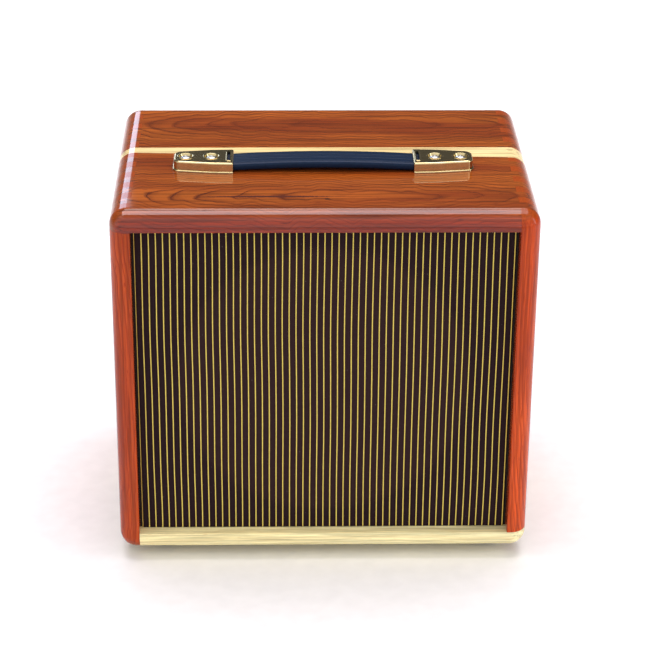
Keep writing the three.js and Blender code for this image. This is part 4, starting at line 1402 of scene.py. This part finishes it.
def build_tubes():
    for name, bulb, length in (("power", 16.5, 82), ("rectifier", 18, 92)):
        node = f"{name}_tube"
        at = Vector((middle(node).x, middle(node).y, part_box("chassis")[0][2]))
        base = [(0, -26), (15.2, -26), (15.5, -24), (15.5, -6), (14.6, -4.4), (0, -4.4)]
        bm = turned(base, 0.5, axis="z", sides=64)
        turned([(0, -4.4), (3.9, -4.4), (3.9, 5), (3.2, 6), (0, 6)], axis="z", sides=24, bm=bm)
        put(f"{node}_base", bm, at, PHENOLIC, nodes=[node])
        outer = [(14.6, -25.4), (14.9, -28), (bulb, -37), (bulb, -length + 14), (bulb * 0.86, -length + 6.5),
                 (bulb * 0.5, -length + 1.5), (0, -length)]
        glass_bulb(node, outer, at)
        bm = bmesh.new()
        plate = softened([(-9, -5), (9, -5), (9, 5), (-9, 5)], 3, 4)
        prism(bm, plate, "z", -length + 24, -34, 0.4, 2)
        for x in (-11.5, 11.5):
            slab(bm, (x - 0.4, -0.8, -length + 22), (x + 0.4, 0.8, -30), 0.15, 1)
        inside_parts(node, bm, at, length)
    node = "preamp_tube"
    at = Vector((middle(node).x, middle(node).y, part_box("chassis")[0][2]))
    glass_bulb(node, [(10.2, -4.5), (10.9, -6), (11, -45), (8.4, -48.3), (3, -50), (1.5, -52.8), (0, -54)],
               at)
    bm = bmesh.new()
    for x in (-4.2, 4.2):
        outline = [(a + x, b) for a, b in softened([(-3.2, -2.6), (3.2, -2.6), (3.2, 2.6), (-3.2, 2.6)], 1.4,
                                                   3)]
        prism(bm, outline, "z", -36, -14, 0.3, 2)
    inside_parts(node, bm, at, 58, 7.6)
    bm = turned([(0, -6.4), (10, -6.4), (10, -4.4), (0, -4.4)], 0.5, axis="z", sides=48)
    put("preamp_tube_button", bm, at, GLASS, nodes=[node])


def glass_bulb(node, outer, at):
    smooth = softened(outer, 5, 5, closed=False)
    inner = [(max(r - 0.9, 0.0), z + (0.9 if r < 6 else 0.0)) for r, z in reversed(smooth)]
    bm = turned(smooth + inner, axis="z", sides=64)
    put(f"{node}_glass", bm, at, GLASS, sharp=60)


def inside_parts(node, bm, at, length, mica=12.5):
    put(f"{node}_plates", bm, at, ELECTRODE)
    bm = bmesh.new()
    for z in (-length + 21.4, -32.4 if mica > 10 else -12.4):
        turned([(0, z), (mica, z), (mica, z + 0.5), (0, z + 0.5)], axis="z", sides=32, bm=bm)
    put(f"{node}_mica", bm, at, IVORY, slot="tube_glass")
    ring = [(2.6 * math.cos(a), 2.6 * math.sin(a),
             -length + 14.5) for a in (math.pi * k / 12 for k in range(25))]
    bm = bmesh.new()
    tube(bm, ring, 0.6, 8)
    tube(bm, [(0, 2.6, -length + 14.5), (0, 2.6, -length + 22)], 0.4, 8)
    put(f"{node}_getter", bm, at, GETTER)


def build_sockets():
    for name, r in (("preamp", 10), ("power", 16), ("rectifier", 16)):
        node = f"{name}_socket"
        at = Vector((middle(node).x, middle(node).y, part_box("chassis")[0][2]))
        profile = [(4.2, -4), (r + 4, -4), (r + 4, -0.3), (r - 0.1, -0.3), (r - 0.1, 8), (4.2, 8)]
        put(f"{node}_piece", turned(profile, 0.5, axis="z", sides=72), at, PHENOLIC, nodes=[node])
        for i, x in enumerate((-1, 1)):
            spot = at + Vector((x * (r + 2.2), 0, -4)) * MM
            wood_screw(f"{node}_screw_{i + 1}", spot, "z", -1, 1.6, dome=0.9, shank=1.5)


def build_back_and_feet():
    low, high = corners("lower_back_panel")
    bm = slab(None, low, high, 1.6 * MM, 4)
    panel = raw("lower_back_panel_piece", bm)
    spots = [(x, share) for x in (-0.93, 0.93) for share in (0.16, 0.84)] + [(-0.33, 0.09), (0.33, 0.09)]
    for i, (x, share) in enumerate(spots):
        at = Vector((x * high.x, high.y, low.z + (high.z - low.z) * share))
        holes(panel, at, turned([(0, -2.6), (2.2, -2.6), (4.4, 0.3), (0, 0.3)], sides=32))
        wood_screw(f"back_panel_screw_{i + 1}", at - Vector((0, 0.25 * MM, 0)), "y", 1, 4.0, dome=0.25,
                   shank=8.0)
    finish = wood("lower_back_panel_wood", "x", (0.02, 0.07), (0.35, -1.0), 0.9, 0.0055, 11.2, CEDAR)
    settle(panel, finish.material, nodes=["lower_back_panel"])
    low, high = corners("back_panel_batten")
    bm = slab(None, low, high, 1.0 * MM, 3)
    settle(raw("back_panel_batten_piece", bm), PINE, nodes=["back_panel_batten"])
    for end in ("front", "rear"):
        for side in ("left", "right"):
            node = f"foot_{end}_{side}"
            low, high = corners(node)
            at = Vector(((low.x + high.x) / 2, (low.y + high.y) / 2, 0))
            profile = [(4.2, 0), (14.6, 0), (15.6, 0.5), (17.2, 2.2), (19, 9.0), (18.6, 9.7), (2.2, 9.7),
                       (2.2, 5), (4.2, 5)]
            foot = made(f"{node}_piece", turned(profile, 0.6, axis="z", sides=72), at)
            settle(foot, FOOT, nodes=[node])
            wood_screw(f"{node}_screw", at + Vector((0, 0, 4.6 * MM)), "z", -1, 3.9, dome=0.8, shank=5)


def dress_chassis():
    """The chassis keeps its own mesh and takes a zinc finish."""
    mesh = bpy.data.objects["chassis"].data
    mesh.materials.clear()
    mesh.materials.append(ZINC)


CONE = cone_material()
build_boards()
build_cloth()
build_baffle()
build_handle()
build_speaker()
build_panel()
build_controls()
build_transformers()
build_tubes()
build_sockets()
build_back_and_feet()
dress_chassis()
add_floor()
add_studio()
add_camera()
bpy.context.scene.view_settings.view_transform = "Standard"
